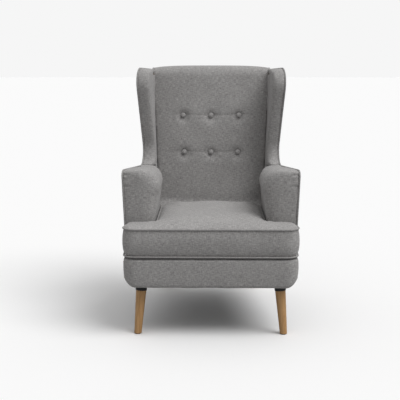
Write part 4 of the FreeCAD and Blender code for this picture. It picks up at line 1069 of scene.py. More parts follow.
@dataclass
class SeatCushion:
    """The loose T-shaped cushion: crowned cover, two rows of piping, zip and foam core."""

    half: float = 0.345
    front: float = -0.391
    notch: float = -0.278
    neck: float = 0.2194
    rear: float = 0.134
    low: float = 0.3223
    edge: float = 0.430
    radii: tuple[float, ...] = (0.048, 0.048, 0.030, 0.014, 0.028, 0.028, 0.014, 0.030)
    voxel: float = 6 * MM
    piping: float = 7.5 * MM
    pressure: float = 4.0
    swelling: float = 9 * MM
    seam: float = 8 * MM
    unevenness: float = 1.6 * MM
    crown: float = 8 * MM
    crown_half: float = 0.24
    crown_y: float = 0.10
    crown_depth: float = 0.10
    drawn: float = 3 * MM
    drawn_width: float = 12 * MM
    pull: float = 1.8 * MM
    pull_reach: float = 50 * MM
    pulls: float = 7
    cord_sag: float = 3 * MM
    cord_sag_start: float = -0.30
    cord_sag_end: float = -0.35
    ear_ease: float = 9 * MM

    def outline(self, offset: float) -> list[tuple[float, float]]:
        """Plan outline of the cushion, grown by an offset."""
        ear, neck = self.half + offset, self.neck + offset
        front, notch, rear = self.front - offset, self.notch + offset, self.rear + offset
        corners = [
            (-ear, front),
            (ear, front),
            (ear, notch),
            (neck, notch),
            (neck, rear),
            (-neck, rear),
            (-neck, notch),
            (-ear, notch),
        ]
        signs = (1, 1, 1, -1, 1, 1, -1, 1)
        radii = [max(radius + sign * offset, 2 * MM) for radius, sign in zip(self.radii, signs)]
        return rounded(corners, radii)

    def seam_distance(self, places: np.ndarray) -> np.ndarray:
        """Distance of each point from the nearer of the two seams."""
        line = np.array(self.outline(0.0))
        gap = np.full(len(places), 1.0)
        for start, end in zip(line, np.roll(line, -1, axis=0)):
            way = end - start
            share = np.clip(((places[:, :2] - start) @ way) / max(way @ way, 1e-12), 0, 1)
            near = start + share[:, None] * way
            gap = np.minimum(gap, np.linalg.norm(places[:, :2] - near, axis=1))
        rise = np.minimum(abs(places[:, 2] - self.edge), abs(places[:, 2] - self.low))
        return np.hypot(gap, rise)

    def eased(self, places: np.ndarray) -> np.ndarray:
        """Draws the rear top corners of the ears in, where the arms press on them."""
        x, y, z = places.T
        share = ramp(abs(x), 0.29, 0.345) * ramp(y, -0.345, -0.28) * ramp(z, 0.36, 0.43)
        moved = places.copy()
        moved[:, 0] -= np.sign(x) * self.ear_ease * share
        return moved

    def creases(self, places: np.ndarray, normals: np.ndarray) -> np.ndarray:
        """A full crown, seams drawn in and short pulls at the neck's inside corners."""
        x, y, z = places.T
        top = ramp(z, self.edge, self.edge + 15 * MM)
        gap = self.seam_distance(places)
        depth = self.unevenness * waves(places, 0.17, 5) * ramp(gap, 0, 0.04)
        middle = np.clip(1 - (x / self.crown_half) ** 2, 0, 1)
        middle *= bell(y - self.crown_y, self.crown_depth)
        drawn = self.drawn * bell(z - self.low, self.drawn_width) * (1 - abs(normals[:, 2]))
        from_corner = np.hypot(abs(x) - self.neck, y - self.notch)
        angle = np.arctan2(y - self.notch, abs(x) - self.neck)
        pull = self.pull * np.exp(-from_corner / self.pull_reach) * np.cos(angle * self.pulls) * top
        moved = places + normals * (depth + pull - drawn)[:, None]
        moved[:, 2] += self.crown * top * middle
        floor = self.low + np.where(top < 1e-6, 0.2 * MM, 0.0)
        moved[:, 2] = np.maximum(moved[:, 2], floor)
        return self.eased(moved)

    def cover(self) -> Piece:
        """The cover, swollen from inside and held at its seams."""
        obj = soft_shell("cushion_cover", "cushion_cover_cloth", self.voxel, 6)
        places, _ = coordinates(obj)
        held = np.nonzero(self.seam_distance(places) < self.seam)[0]
        swollen(obj, self.pressure, self.swelling, held)
        finer(modified(obj, "SMOOTH", factor=0.5, iterations=4))
        shaped(obj, self.creases)
        return dressed(obj, Finish.TWEED, Body.CUSHION, ["cushion_cover"])

    def cords(self, tree: GeometryTree) -> None:
        """The two rings of piping along the seams."""
        for name, level, offset in (
            ("cushion_piping_bottom", self.low + self.piping / 2 + 0.1 * MM, -1.2 * MM),
            ("cushion_piping_top", self.edge + 2.6 * MM, 0.4 * MM),
        ):
            sag = 0.0 if level > self.edge else self.cord_sag
            flat = np.array(self.outline(offset))
            fall = sag * ramp(flat[:, 1], self.cord_sag_start, self.cord_sag_end)
            line = np.column_stack([flat, level - fall]).tolist()
            cord = tree.apply(
                curve_object(f"{name}_cord", line, True), Finish.PIPING, {"Diameter": self.piping}
            )
            shaped(cord, lambda places, normals: self.eased(places))
            dressed(cord, Finish.PIPING, Body.CUSHION, [name])

    def core(self) -> None:
        """The foam core, with its cut edges a little soft."""
        obj = soft_shell("cushion_core", "cushion_core_foam", 10 * MM, 2)
        dressed(obj, Finish.FOAM, Body.CUSHION, ["cushion_core"])

    def zip(self, tree: GeometryTree) -> None:
        """The zip tape with its two rows of teeth."""
        low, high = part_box("zip_tape")
        y = (low.y + high.y) / 2
        corners = [(low.x, low.z), (high.x, low.z), (high.x, high.z), (low.x, high.z)]
        tape = gridded("zip_tape_cloth", corners, 8 * MM)

        def stand(places: np.ndarray, normals: np.ndarray) -> np.ndarray:
            """Stands the flat tape up against the boxing."""
            ripple = 0.15 * MM * np.sin(places[:, 0] / (9 * MM))
            return np.stack([places[:, 0], y + ripple, places[:, 1]], axis=1)

        shaped(tape, stand)
        modified(tape, "SOLIDIFY", thickness=0.8 * MM, offset=0.0)
        dressed(tape, Finish.ZIP, Body.CUSHION, ["zip_tape"])
        tooth = {"Pitch": 2.6 * MM, "Along": 1.4 * MM, "Across": 2.2 * MM, "High": 1.2 * MM}
        for name, way in (("zip_teeth_upper", 1), ("zip_teeth_lower", -1)):
            z = (low.z + high.z) / 2 + 1.3 * MM * way
            ends = (low.x + 4 * MM, high.x - 4 * MM)
            line = curve_object(name, [(x, high.y + 0.2 * MM, z) for x in ends], False)
            teeth = tree.apply(line, Finish.SLIDER, {**tooth, "Turn": 0.0})
            dressed(teeth, Finish.SLIDER, Body.CUSHION)

    def build(self, cord: GeometryTree, block: GeometryTree) -> None:
        """Builds the whole cushion."""
        self.cover()
        self.cords(cord)
        self.core()
        self.zip(block)


@dataclass
class TuftedBack:
    """The inside back: crowned pad with two rows of covered buttons drawn in."""

    rows: tuple[tuple[float, float], ...] = ((0.834, 0.126), (0.670, 0.121))
    half: float = 0.267
    lumbar: tuple[float, float] = (0.165, 0.452)
    shoulder: tuple[float, float] = (0.268, 1.004)
    crown: float = 0.020
    belly: float = 0.008
    button_sink: float = 4.6 * MM
    button: float = 22 * MM
    button_height: float = 9 * MM
    button_tilt: float = math.radians(-10.6)
    dimple: float = 3.6 * MM
    dimple_width: float = 13 * MM
    hollow: float = 1.2 * MM
    hollow_width: float = 35 * MM
    crease: float = 1.5 * MM
    crease_width: float = 5.5 * MM
    crease_bow: float = 2.0 * MM
    crease_end: float = 85 * MM
    trough_width: float = 28 * MM
    unevenness: float = 0.9 * MM
    snug: float = 1.3 * MM
    snug_top: float = 4 * MM
    voxel: float = 7 * MM

    def face(self, x: float, z: float) -> float:
        """Depth of the pad's face at a place."""
        share = (z - self.lumbar[1]) / (self.shoulder[1] - self.lumbar[1])
        rise = 1 - (x / self.half) ** 2
        line = self.lumbar[0] + share * (self.shoulder[0] - self.lumbar[0])
        return line + self.crown * (1 - rise) - self.belly * rise * 4 * share * (1 - share)

    def places(self) -> list[tuple[float, float, float]]:
        """The points that the buttons draw in."""
        spots = [(k * pitch, z) for z, pitch in self.rows for k in (-1, 0, 1)]
        return [(x, self.face(x, z), z) for x, z in spots]

    def tufts(self, places: np.ndarray, normals: np.ndarray) -> np.ndarray:
        """Draws the cloth in at each button and lays creases between them."""
        x, _, z = places.T
        front = np.clip(-normals[:, 1], 0, 1)
        depth = self.unevenness * waves(places, 0.16, 8)
        for bx, _, bz in self.places():
            gap = np.hypot(x - bx, z - bz)
            depth += self.dimple * bell(gap, self.dimple_width)
            depth += self.hollow * np.exp(-gap / self.hollow_width)
        for height, pitch in self.rows:
            reach = ramp(-abs(x), -pitch - self.crease_end, -pitch)
            line = height - self.crease_bow * np.cos(np.pi * x / pitch)
            depth += self.crease * reach * bell(z - line, self.crease_width)
            depth += self.hollow * reach * bell(z - line, self.trough_width)
        snug = self.snug + self.snug_top * ramp(z, 0.84, 0.96)
        sides = np.clip(np.abs(normals[:, 0]) / 0.6 - 0.4, 0, 1)
        return places - normals * (depth * front - snug * sides)[:, None]

    def pad(self) -> None:
        """The pad, with a crease between the buttons of each row."""
        obj = finer(soft_shell("back_pad", "back_pad_cloth", self.voxel, 14))
        shaped(obj, self.tufts)
        dressed(obj, Finish.TWEED, Body.CHAIR, ["back_pad"])

    def buttons(self, tree: GeometryTree) -> None:
        """The covered buttons, each in its dimple."""
        points = [(x, y + self.button_sink, z) for x, y, z in self.places()]
        sizes = {"Diameter": self.button, "Height": self.button_height, "Tilt": self.button_tilt}
        obj = tree.apply(mesh_object("tuft_buttons_cloth", points, []), Finish.BUTTON, sizes)
        dressed(obj, Finish.BUTTON, Body.CHAIR, ["tuft_buttons"])

    def build(self, button: GeometryTree) -> None:
        """Builds the pad and its buttons."""
        self.pad()
        self.buttons(button)


@dataclass
class PaddedSide:
    """One arm with its wing: inside pads, outside panels and the piping between them."""

    side: Side
    voxel: float = 6 * MM
    piping: float = 7 * MM
    piping_depth: float = 4 * MM
    cord_run: float = 0.312
    cord_end: float = 0.94
    setback: float = 5 * MM
    settling: float = 8 * MM
    tuck: float = 0.048
    seam_start: float = 0.034
    seam_rear: float = 0.560
    pleats: tuple[tuple[float, float, float], ...] = (
        (0.628, 0.042, 4.2 * MM),
        (0.581, 0.044, 3.0 * MM),
    )
    pleat_width: float = 4.8 * MM
    pleat_bow: float = 3 * MM
    roll_share: float = 0.45
    roll_rise: float = 14 * MM
    roll_width: float = 10 * MM
    arm_width: float = 0.135
    front_fill: float = 4.5 * MM
    top_fill: float = 5.0 * MM
    outer_fill: float = 1.5 * MM
    ridge: float = 2.6 * MM
    ridge_inward: float = 34 * MM
    ridge_y: float = -0.243
    front_y: float = -0.20
    outer_edge: float = 20 * MM
    unevenness: float = 1.0 * MM
    wing_unevenness: float = 0.8 * MM
    arm_snug: float = 3.0 * MM
    wing_snug: float = 1.3 * MM
    wing_snug_top: float = 7 * MM
    wing_sink: float = 5 * MM
    wing_foot: float = 0.70
    belly: float = 1.6 * MM
    drag: float = 0.5 * MM
    plane: SidePlane = field(init=False)

    def __post_init__(self) -> None:
        """Sets the side's plane."""
        self.plane = SidePlane(self.side)

    def settled(self, places: np.ndarray) -> np.ndarray:
        """Lets the arm's top line sink a little towards the wing, for every piece along it."""
        y, z = places[:, 1], places[:, 2]
        share = ramp(y, -0.17, 0.05)
        reach = share * share * (3 - 2 * share)
        line = OUTLINE.arm_top(np.minimum(y, OUTLINE.root))
        moved = places.copy()
        moved[:, 2] -= self.settling * reach * bell(z - line, 0.045)
        return moved

    def gathers(self, places: np.ndarray, normals: np.ndarray) -> np.ndarray:
        """Short level pleats that run in from the outer edge, and the arm's full front."""
        x, y, z = places.T
        sign = self.side.value
        inward = self.plane.half(y, z) - x * sign
        front = np.clip(-normals[:, 1], 0, 1) * (y < self.front_y)
        top = np.clip(normals[:, 2], 0, 1)
        depth = self.unevenness * waves(places, 0.13, 21 + sign)
        for height, length, deep in self.pleats:
            line = height + self.pleat_bow * np.sin(ramp(inward, 0, length) * np.pi)
            reach = ramp(-inward, -length, -0.4 * length) * front
            depth -= deep * reach * bell(z - line, self.pleat_width)
            roll = bell(z - line - self.roll_rise, self.roll_width)
            depth += self.roll_share * deep * reach * roll
        ridge = bell(inward - self.ridge_inward, 16 * MM) * bell(y - self.ridge_y, 10 * MM)
        depth -= self.ridge * top * ridge
        fullness = np.sin(np.pi * ramp(inward, 0, self.arm_width))
        depth += self.front_fill * front * fullness * ramp(z, 0.36, 0.44)
        depth += self.top_fill * top * fullness * bell(y + 0.225, 0.07)
        outer = ramp(-inward, -self.outer_edge, 0) * (normals[:, 0] * sign > 0.3) * (y < -0.22)
        depth += self.outer_fill * outer
        snug = self.arm_snug * ramp(normals[:, 2], 0.3, 0.7) * ramp(y, 0.03, 0.06)
        return self.settled(places + normals * (depth + snug)[:, None])

    def arm_pad(self) -> None:
        """The arm's inside pad, with gathers at its top front outer corner."""
        node = f"arm_pad_{self.side.word}"
        obj = finer(soft_shell(node, f"{node}_cloth", self.voxel, 8))
        shaped(obj, self.gathers)
        dressed(obj, Finish.TWEED, Body.CHAIR, [node])

    def ease(self, places: np.ndarray, normals: np.ndarray) -> np.ndarray:
        """The wing's uneven filling, drawn snug against the back pad and the arm."""
        _, y, z = places.T
        inner = np.clip(-normals[:, 0] * self.side.value / 0.6 - 0.4, 0, 1)
        high = ramp(y, 0.23, 0.27) * ramp(z, 0.84, 0.96)
        snug = inner * (self.wing_snug + self.wing_snug_top * high)
        snug += self.wing_sink * ramp(-normals[:, 2], 0.3, 0.7) * (z < self.wing_foot)
        snug += self.wing_unevenness * waves(places, 0.12, 31)
        return self.settled(places + normals * snug[:, None])

    def wing_pad(self) -> None:
        """The wing's inside pad, round at its front edge."""
        node = f"wing_pad_{self.side.word}"
        obj = finer(soft_shell(node, f"{node}_cloth", self.voxel * 0.85, 8))
        shaped(obj, self.ease)
        dressed(obj, Finish.TWEED, Body.CHAIR, [node])

    def bent(self, along: np.ndarray, up: np.ndarray, depth: np.ndarray) -> np.ndarray:
        """Places points of the unrolled outside cloth, which turns under at the base."""
        turn = (OUTLINE.foot - self.plane.deck) / math.cos(self.plane.lean) + self.tuck
        angle = np.clip((turn - up) / self.tuck, 0, math.pi / 2)
        over = np.maximum(turn - up - self.tuck * math.pi / 2, 0)
        radius = self.tuck - depth
        height = np.where(up >= turn, up, turn - radius * np.sin(angle))
        inside = np.where(up >= turn, depth, self.tuck - radius * np.cos(angle)) + over
        return self.plane.place(along, height, inside)

    def outside_panel(self, label: str, corners: list, radii: list[float]) -> None:
        """One outside panel: cloth over thin wadding, its edges folded in."""
        word = self.side.word
        outline = rounded(corners, radii)
        obj = gridded(f"{label}_{word}_cloth", outline, 14 * MM)
        low = np.array(outline).min(axis=0)
        high = np.array(outline).max(axis=0)

        def hang(places: np.ndarray, normals: np.ndarray) -> np.ndarray:
            """Lays the panel on its plane with a slight belly and drag lines."""
            u, v, _ = places.T
            share = (places[:, :2] - low) / (high - low)
            belly = self.belly * np.prod(np.sin(np.pi * np.clip(share, 0, 1)), axis=1)
            drag = self.drag * waves(places * np.array([1, 0.4, 1]), 0.11, 44)
            return self.settled(self.bent(u, v, 0.3 * MM - belly - drag * (belly > 0.4 * MM)))

        shaped(obj, hang)
        if self.side is Side.LEFT:
            obj.data.flip_normals()
        folded_panel(obj, OUTLINE.panel - 0.6 * MM)
        dressed(obj, Finish.TWEED, Body.CHAIR, [f"{label}_{word}"])

    def outside(self) -> None:
        """The outside arm and outside wing panels."""
        points, radii = OUTLINE.corners(self.plane, -self.setback)
        hair = 0.6 * MM
        foot = (OUTLINE.foot - self.plane.deck) / math.cos(self.plane.lean)
        unrolled = foot + self.tuck - self.tuck * math.pi / 2
        seam_front = self.plane.local(
            self.seam_start, OUTLINE.arm_top(self.seam_start) - self.setback
        )
        rear = BACK.y(self.seam_rear) - OUTLINE.panel
        seam_rear = self.plane.local(rear, self.seam_rear)
        down = (points[5][0] - points[4][0]) / (points[5][1] - points[4][1])
        bottom_rear = (points[5][0] - 2 * MM + down * (unrolled - points[5][1]), unrolled)
        arm = [
            (points[0][0] - self.setback - 0.6 * MM, unrolled),
            points[1],
            (seam_front[0], seam_front[1] - hair),
            (seam_rear[0], seam_rear[1] - hair),
            bottom_rear,
        ]
        wing = [
            (seam_front[0], seam_front[1] + hair),
            points[2],
            points[3],
            points[4],
            (seam_rear[0], seam_rear[1] + hair),
        ]
        self.outside_panel("outside_arm", arm, [0, radii[1], 0, 0, 0])
        self.outside_panel("outside_wing", wing, [0, radii[2], radii[3], radii[4], 0])

    def cord(self, tree: GeometryTree) -> None:
        """The piping round the outer edge of arm and wing."""
        word = self.side.word
        points, radii = OUTLINE.corners(self.plane, self.piping / 2 + 0.3 * MM - self.setback)
        run = (Vector(points[0]) - Vector(points[1])).normalized() * self.cord_run
        start = tuple(Vector(points[1]) + run)
        crown = Vector(points[4]) - Vector(points[3])
        end = tuple(Vector(points[3]) + crown * self.cord_end)
        line = rounded([start, *points[1:4], end], [0, *radii[1:4], 0], False, 5.0)
        flat = np.array(line)
        places = self.settled(
            self.plane.place(flat[:, 0], flat[:, 1], np.full(len(flat), self.piping_depth))
        )
        cord = tree.apply(
            curve_object(f"piping_{word}_cord", places.tolist(), False),
            Finish.PIPING,
            {"Diameter": self.piping},
        )
        dressed(cord, Finish.PIPING, Body.CHAIR, [f"piping_{word}"])

    def build(self, cord: GeometryTree) -> None:
        """Builds the whole side."""
        self.arm_pad()
        self.wing_pad()
        self.outside()
        self.cord(cord)


@dataclass
class Base:
    """The covered base: front border, platform, outside back and dust cover."""

    half: float = 0.346
    front: float = -0.392
    rear: float = -0.2665
    bottom: float = 0.197
    top: float = 0.322
    corner: float = 0.050
    front_tuck: float = 0.016
    side_tuck: float = 0.048
    inner_half: float = 0.2287
    deck_front: float = -0.300
    edge: float = 0.011
    sunk: float = 8 * MM
    puff: float = 1.6 * MM
    unevenness: float = 0.7 * MM
    back_belly: float = 2.0 * MM
    back_drag: float = 0.5 * MM
    cover_sag: float = 4 * MM
    cover_inset: float = 49.2 * MM
    staple_inset: float = 12 * MM
    pitch: float = 0.009

    def border_line(self) -> list[Vector]:
        """Points along the border's outline, from its rear left end to its rear right end."""
        corners = [
            (-self.half, self.rear),
            (-self.half, self.front),
            (self.half, self.front),
            (self.half, self.rear),
        ]
        line = [Vector(spot) for spot in rounded(corners, [0, *[self.corner] * 2, 0], False, 5.0)]
        samples: list[Vector] = []
        for start, end in zip(line, line[1:]):
            parts = max(1, round((end - start).length / self.pitch))
            samples += [start.lerp(end, k / parts) for k in range(parts)]
        return [*samples, line[-1]]

    def border_column(self, sample: Vector, outward: Vector) -> list[tuple[float, float, float]]:
        """Points of the border's section at a place, from the deck over its edge to below."""
        edge, sunk = self.edge, self.sunk
        aside = abs(outward.x) ** 1.5
        tuck = self.front_tuck + (self.side_tuck - self.front_tuck) * aside
        inner_x = max(-self.inner_half, min(self.inner_half, sample.x))
        inner = Vector((inner_x, max(sample.y, self.deck_front)))
        rim = sample - outward * edge
        column = []

        def add(spot: Vector, z: float) -> None:
            """Adds a point of the section."""
            column.append((spot.x, spot.y, z))

        for share in (1.0, 0.7, 0.4, 0.15):
            add(rim.lerp(inner, share), self.top - 0.4 * MM - sunk * (1 - share))
        for angle in (90, 72, 54, 36, 18, 0):
            turn = math.radians(angle)
            inset = edge * (1 - math.cos(turn))
            add(sample - outward * inset, self.top - (sunk + edge * (1 - math.sin(turn))))
        shoulder = self.top - sunk - edge
        for part in range(1, 9):
            z = shoulder - (shoulder - self.bottom - tuck) * part / 9
            add(sample + outward * (self.puff * math.sin(math.pi * part / 9)), z)
        for part in range(9):
            turn = math.pi / 2 * part / 8
            inset = tuck * (1 - math.cos(turn))
            add(sample - outward * inset, self.bottom + tuck * (1 - math.sin(turn)))
        for part in (1, 2, 3):
            add(sample - outward * (tuck + 0.012 * part), self.bottom + 0.1 * MM)
        return column

    def border(self) -> None:
        """The padded border that wraps the front and the ears of the base."""
        samples = self.border_line()
        columns = []
        for k, sample in enumerate(samples):
            way = (samples[min(k + 1, len(samples) - 1)] - samples[max(k - 1, 0)]).normalized()
            outward = Vector((way.y, -way.x))
            if outward.dot(sample - Vector((0, -0.3))) < 0:
                outward = -outward
            columns.append(self.border_column(sample, outward))
        rows = len(columns[0])
        faces = [
            (a, a + 1, a + rows + 1, a + rows)
            for k in range(len(columns) - 1)
            for a in range(k * rows, k * rows + rows - 1)
        ]
        points = [point for column in columns for point in column]
        obj = mesh_object("front_border_cloth", points, faces)

        def uneven(places: np.ndarray, normals: np.ndarray) -> np.ndarray:
            """Slightly uneven padding."""
            return places + normals * (self.unevenness * waves(places, 0.14, 52))[:, None]

        shaped(obj, uneven)
        modified(obj, "SOLIDIFY", thickness=4 * MM, offset=-1.0)
        fix_normals(obj)
        finer(obj)
        dressed(obj, Finish.TWEED, Body.CHAIR, ["front_border"])

    def platform(self) -> None:
        """The felt pad over the springs and its lining cloth."""
        pad = soft_shell("deck_pad", "deck_pad_felt", 7 * MM)
        dressed(pad, Finish.FELT, Body.CHAIR, ["deck_pad"])
        low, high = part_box("deck_cloth")
        outline = [(low.x, low.y), (high.x, low.y), (high.x, high.y), (low.x, high.y)]
        cloth = gridded("deck_cloth_lining", outline, 12 * MM)

        def lie(places: np.ndarray, normals: np.ndarray) -> np.ndarray:
            """Lies on the pad with slight waves."""
            places[:, 2] = high.z - 0.8 * MM + 0.5 * MM * waves(places, 0.12, 61)
            return places

        shaped(cloth, lie)
        modified(cloth, "SOLIDIFY", thickness=1.4 * MM, offset=-1.0)
        dressed(cloth, Finish.LINING, Body.CHAIR, ["deck_cloth"])

    def outside_back(self) -> None:
        """The outside back panel, tight over its frame."""
        tilt = math.atan2(BACK.top_y - BACK.bottom_y, BACK.top - BACK.bottom)
        height = (BACK.top - BACK.bottom) / math.cos(tilt)
        plane = SidePlane(Side.RIGHT)
        low_half = plane.half(BACK.y(BACK.bottom), BACK.bottom) - 0.4 * MM
        high_half = plane.half(BACK.y(BACK.top), BACK.top) - 0.4 * MM
        corners = [(-low_half, 0), (low_half, 0), (high_half, height), (-high_half, height)]
        outline = rounded(corners, [0.048, 0.048, 0.018, 0.018])
        obj = gridded("outside_back_cloth", outline, 14 * MM)

        def stand(places: np.ndarray, normals: np.ndarray) -> np.ndarray:
            """Stands the panel up with a slight belly."""
            x, v, _ = places.T
            share = v / height
            swell = np.sin(np.pi * share)
            belly = self.back_belly * swell * (1 - (x / 0.29) ** 2)
            drag = self.back_drag * waves(places * np.array([1, 0.4, 1]), 0.12, 71) * swell
            out = belly + drag - 0.3 * MM
            y = BACK.bottom_y + v * math.sin(tilt) + out * math.cos(tilt)
            z = BACK.bottom + v * math.cos(tilt) - out * math.sin(tilt)
            return np.stack([x, y, z], axis=1)

        shaped(obj, stand)
        obj.data.flip_normals()
        folded_panel(obj, 3.4 * MM)
        dressed(obj, Finish.TWEED, Body.CHAIR, ["outside_back"])

    def dust_cover(self, tree: GeometryTree) -> None:
        """The black cloth under the base, stapled round its edge."""
        low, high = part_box("dust_cover")
        plane = SidePlane(Side.RIGHT)
        wide = plane.half(plane.front, low.z) - self.cover_inset
        narrow = plane.half(high.y, low.z) - self.cover_inset
        corners = [
            (-wide, low.y),
            (wide, low.y),
            (wide, plane.front),
            (narrow, high.y),
            (-narrow, high.y),
            (-wide, plane.front),
        ]
        obj = gridded("dust_cover_cloth", corners, 22 * MM)

        def sag(places: np.ndarray, normals: np.ndarray) -> np.ndarray:
            """Hangs a little between its stapled edges."""
            x, y, _ = places.T
            middle = np.clip(1 - (x / 0.25) ** 2, 0, 1)
            middle *= np.clip(1 - ((y + 0.03) / 0.30) ** 2, 0, 1)
            hang = 0.4 * MM * waves(places, 0.09, 81) - self.cover_sag
            places[:, 2] = low.z + 0.6 * MM + hang * middle
            return places

        shaped(obj, sag)
        modified(obj, "SOLIDIFY", thickness=0.8 * MM, offset=1.0)
        cutters = []
        sides = 32
        for node in ("front_right", "front_left", "rear_right", "rear_left"):
            box_low, box_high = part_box(f"leg_socket_{node}")
            centre = (box_low + box_high) / 2
            radius = (box_high.x - box_low.x) / 2 + 0.4 * MM
            points = [
                (centre.x + x, centre.y + y, z)
                for z in (low.z - 0.02, high.z + 0.02)
                for x, y in ring(radius, sides)
            ]
            faces = [tuple(range(sides))[::-1], tuple(range(sides, 2 * sides))]
            steps = [(k, (k + 1) % sides) for k in range(sides)]
            faces += [(k, after, sides + after, sides + k) for k, after in steps]
            cutters.append(mesh_object(f"hole_{node}", points, faces))
        for cutter in cutters:
            modified(obj, "BOOLEAN", object=cutter, operation="DIFFERENCE", solver="EXACT")
        for cutter in cutters:
            bpy.data.objects.remove(cutter)
        dressed(obj, Finish.NONWOVEN, Body.CHAIR, ["dust_cover"])
        edge = grown(corners, [-self.staple_inset] * len(corners))
        stapled = [(x, y, low.z - 0.2 * MM) for x, y in edge]
        staple = {"Pitch": 42 * MM, "Along": 10 * MM, "Across": 1.2 * MM, "High": 0.8 * MM}
        line = curve_object("dust_cover_staples", stapled, True)
        staples = tree.apply(line, Finish.ZINC, {**staple, "Turn": 0.25})
        dressed(staples, Finish.ZINC)

    def build(self, block: GeometryTree) -> None:
        """Builds the covered base."""
        self.border()
        self.platform()
        self.outside_back()
        self.dust_cover(block)


@dataclass
class LegSockets:
    """The moulded cups that the legs stand in, each with a collar that shows under the base."""

    tops: dict[str, tuple[float, float]] = field(
        default_factory=lambda: {"front": (0.276, -0.325), "rear": (0.186, 0.288)}
    )
    feet: dict[str, tuple[float, float]] = field(
        default_factory=lambda: {"front": (0.292, -0.347), "rear": (0.200, 0.360)}
    )
    height: float = 0.2035
    profile: tuple[tuple[float, float], ...] = (
        (0.2, 23.4),
        (14.0, 23.0),
        (26.0, 22.7),
        (28.5, 22.4),
        (29.5, 21.8),
        (29.1, 20.8),
        (26.0, 20.8),
        (14.0, 21.2),
        (0.2, 21.6),
    )
    sides: int = 48

    def build(self) -> None:
        """Turns each cup round its leg's axis."""
        for end in self.tops:
            for side in Side:
                sign = side.value
                top = Vector((self.tops[end][0] * sign, self.tops[end][1], self.height))
                foot = Vector((self.feet[end][0] * sign, self.feet[end][1], 0))
                down = (foot - top).normalized()
                turn = down.to_track_quat("Z", "Y")
                points = [
                    top + turn @ Vector((x, y, along)) * MM
                    for along, radius in self.profile
                    for x, y in ring(radius, self.sides)
                ]
                rows, sides = len(self.profile), self.sides
                faces = [
                    (
                        row * sides + k,
                        row * sides + (k + 1) % sides,
                        (row + 1) % rows * sides + (k + 1) % sides,
                        (row + 1) % rows * sides + k,
                    )
                    for row in range(rows)
                    for k in range(sides)
                ]
                obj = mesh_object(f"leg_socket_{end}_{side.word}_cup", points, faces)
                fix_normals(obj)
                node = f"leg_socket_{end}_{side.word}"
                dressed(obj, Finish.NYLON, Body.CHAIR, [node])


def fix_normals(obj: Piece) -> None:
    """Turns all faces of a closed mesh outward."""
    shape = bmesh.new()
    shape.from_mesh(obj.data)
    bmesh.ops.remove_doubles(shape, verts=shape.verts, dist=1e-6)
    bmesh.ops.recalc_face_normals(shape, faces=shape.faces)
    shape.to_mesh(obj.data)
    shape.free()


@dataclass
class CarriedOver:
    """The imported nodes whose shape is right, which only get their finish."""

    finishes: dict[Finish, tuple[str, ...]] = field(
        default_factory=lambda: {
            Finish.OAK: ("leg_",),
            Finish.NYLON: ("leg_socket_",),
            Finish.GLIDE: ("glide_",),
            Finish.BEECH: (
                "front_rail",
                "rear_rail",
                "side_rail_",
                "corner_blocks",
                "back_top_rail",
                "back_lower_rail",
                "arm_rail_",
                "arm_lower_rail_",
            ),
            Finish.BEECH_UPRIGHT: ("back_post_", "arm_post_"),
            Finish.PLYWOOD: ("wing_board_",),
            Finish.ZINC: ("hanger_bolts", "seat_springs", "spring_clips", "tuft_washers"),
            Finish.WEBBING: ("back_webbing",),
            Finish.TWINE: ("tuft_ties",),
            Finish.SLIDER: ("zip_slider",),
        }
    )

    def build(self) -> None:
        """Gives each node the finish whose longest name start fits it."""
        for name, obj in NODES.items():
            if obj.hide_render:
                continue
            fitting = [
                (len(start), finish)
                for finish, starts in self.finishes.items()
                for start in starts
                if name.startswith(start)
            ]
            if not fitting:
                log.warning("%s has no finish", name)
                continue
            finish = max(fitting, key=lambda pair: pair[0])[1]
            for slot in obj.material_slots:
                slot.material = finish.material()
            if not obj.material_slots:
                obj.data.materials.append(finish.material())


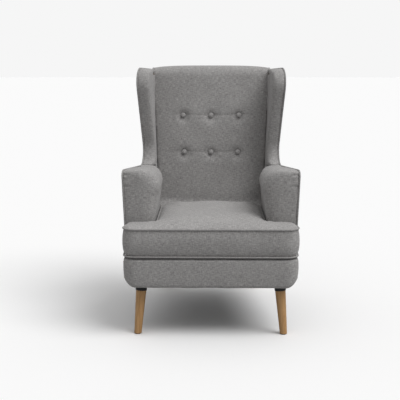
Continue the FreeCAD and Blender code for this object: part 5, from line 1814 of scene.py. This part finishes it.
@dataclass
class Studio:
    """The pale floor, soft light and camera."""

    camera_place: tuple[float, float, float] = (0.0, -3.60, 1.10)
    pitch: float = 9.71
    yaw: float = 0.75
    lens: float = 76.05
    sky: float = 0.17
    behind: float = 0.50
    overhead: float = 0.68
    sun: float = 1.65
    sun_height: float = 56
    sun_turn: float = 64
    sun_spread: float = 40

    def floor(self) -> None:
        """A wide pale floor."""
        size = 40.0
        corners = [(-size, -size, 0), (size, -size, 0), (size, size, 0), (-size, size, 0)]
        obj = mesh_object("floor", corners, [(0, 1, 2, 3)])
        material, tree, shader = blank_material("pale_floor")
        seen = add_node(tree, "ShaderNodeLightPath").outputs["Is Camera Ray"]
        shade = add_node(
            tree,
            "ShaderNodeMix",
            {0: seen, 6: linear("b0b0b0"), 7: linear("fcfcfc")},
            data_type="RGBA",
        )
        tree.links.new(shade.outputs[2], shader.inputs["Base Color"])
        shader.inputs["Roughness"].default_value = 0.9
        shader.inputs["Specular IOR Level"].default_value = 0.0
        obj.data.materials.append(material)

    def light(self) -> None:
        """Even light from all round, some from low behind, and one broad lamp from the right."""
        world = bpy.data.worlds.new("studio")
        bpy.context.scene.world = world
        world.use_nodes = True
        tree = world.node_tree
        tree.nodes.clear()
        seen = add_node(tree, "ShaderNodeLightPath")
        place = add_node(tree, "ShaderNodeTexCoord").outputs["Generated"]
        way = add_node(tree, "ShaderNodeSeparateXYZ", {0: place})
        height = math_node(tree, "MAXIMUM", way.outputs[2], 0.0)
        overhead = math_node(tree, "MULTIPLY", math_node(tree, "POWER", height, 2.0), self.overhead)
        low = math_node(tree, "SUBTRACT", 1.0, height)
        rear = math_node(tree, "MULTIPLY", math_node(tree, "MAXIMUM", way.outputs[1], 0.0), low)
        strength = math_node(tree, "MULTIPLY_ADD", rear, self.behind, overhead)
        strength = math_node(tree, "ADD", strength, self.sky)
        lit = add_node(tree, "ShaderNodeBackground", {"Color": (1, 1, 1, 1), "Strength": strength})
        shown = add_node(tree, "ShaderNodeBackground", {"Color": linear("f6f6f6"), "Strength": 1.0})
        mixed = add_node(
            tree,
            "ShaderNodeMixShader",
            {0: seen.outputs["Is Camera Ray"], 1: lit.outputs[0], 2: shown.outputs[0]},
        )
        add_node(tree, "ShaderNodeOutputWorld", {"Surface": mixed.outputs[0]})
        data = bpy.data.lights.new("key_sun", "SUN")
        data.energy = self.sun
        data.angle = math.radians(self.sun_spread)
        lamp = bpy.data.objects.new("key_sun", data)
        lamp.rotation_euler = (math.radians(90 - self.sun_height), 0, math.radians(self.sun_turn))
        bpy.context.scene.collection.objects.link(lamp)

    def camera(self) -> None:
        """The camera at the photograph's place."""
        data = bpy.data.cameras.new("camera")
        data.lens = self.lens
        data.sensor_width = 36.0
        data.sensor_fit = "HORIZONTAL"
        obj = bpy.data.objects.new("camera", data)
        obj.location = self.camera_place
        obj.rotation_euler = (math.radians(90 - self.pitch), 0, math.radians(self.yaw))
        bpy.context.scene.collection.objects.link(obj)
        bpy.context.scene.camera = obj

    def build(self) -> None:
        """Builds the studio."""
        self.floor()
        self.light()
        self.camera()
        bpy.context.scene.view_settings.view_transform = "Standard"


def main() -> None:
    """Builds the chair's looks and the studio."""
    logging.basicConfig(level=logging.INFO, format="%(message)s")
    cord, block, button = cord_tree(), repeat_tree(), button_tree()
    Studio().build()
    SeatCushion().build(cord, block)
    TuftedBack().build(button)
    for side in Side:
        PaddedSide(side).build(cord)
    Base().build(block)
    LegSockets().build()
    CarriedOver().build()
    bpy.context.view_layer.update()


if __name__ == "__main__":
    main()
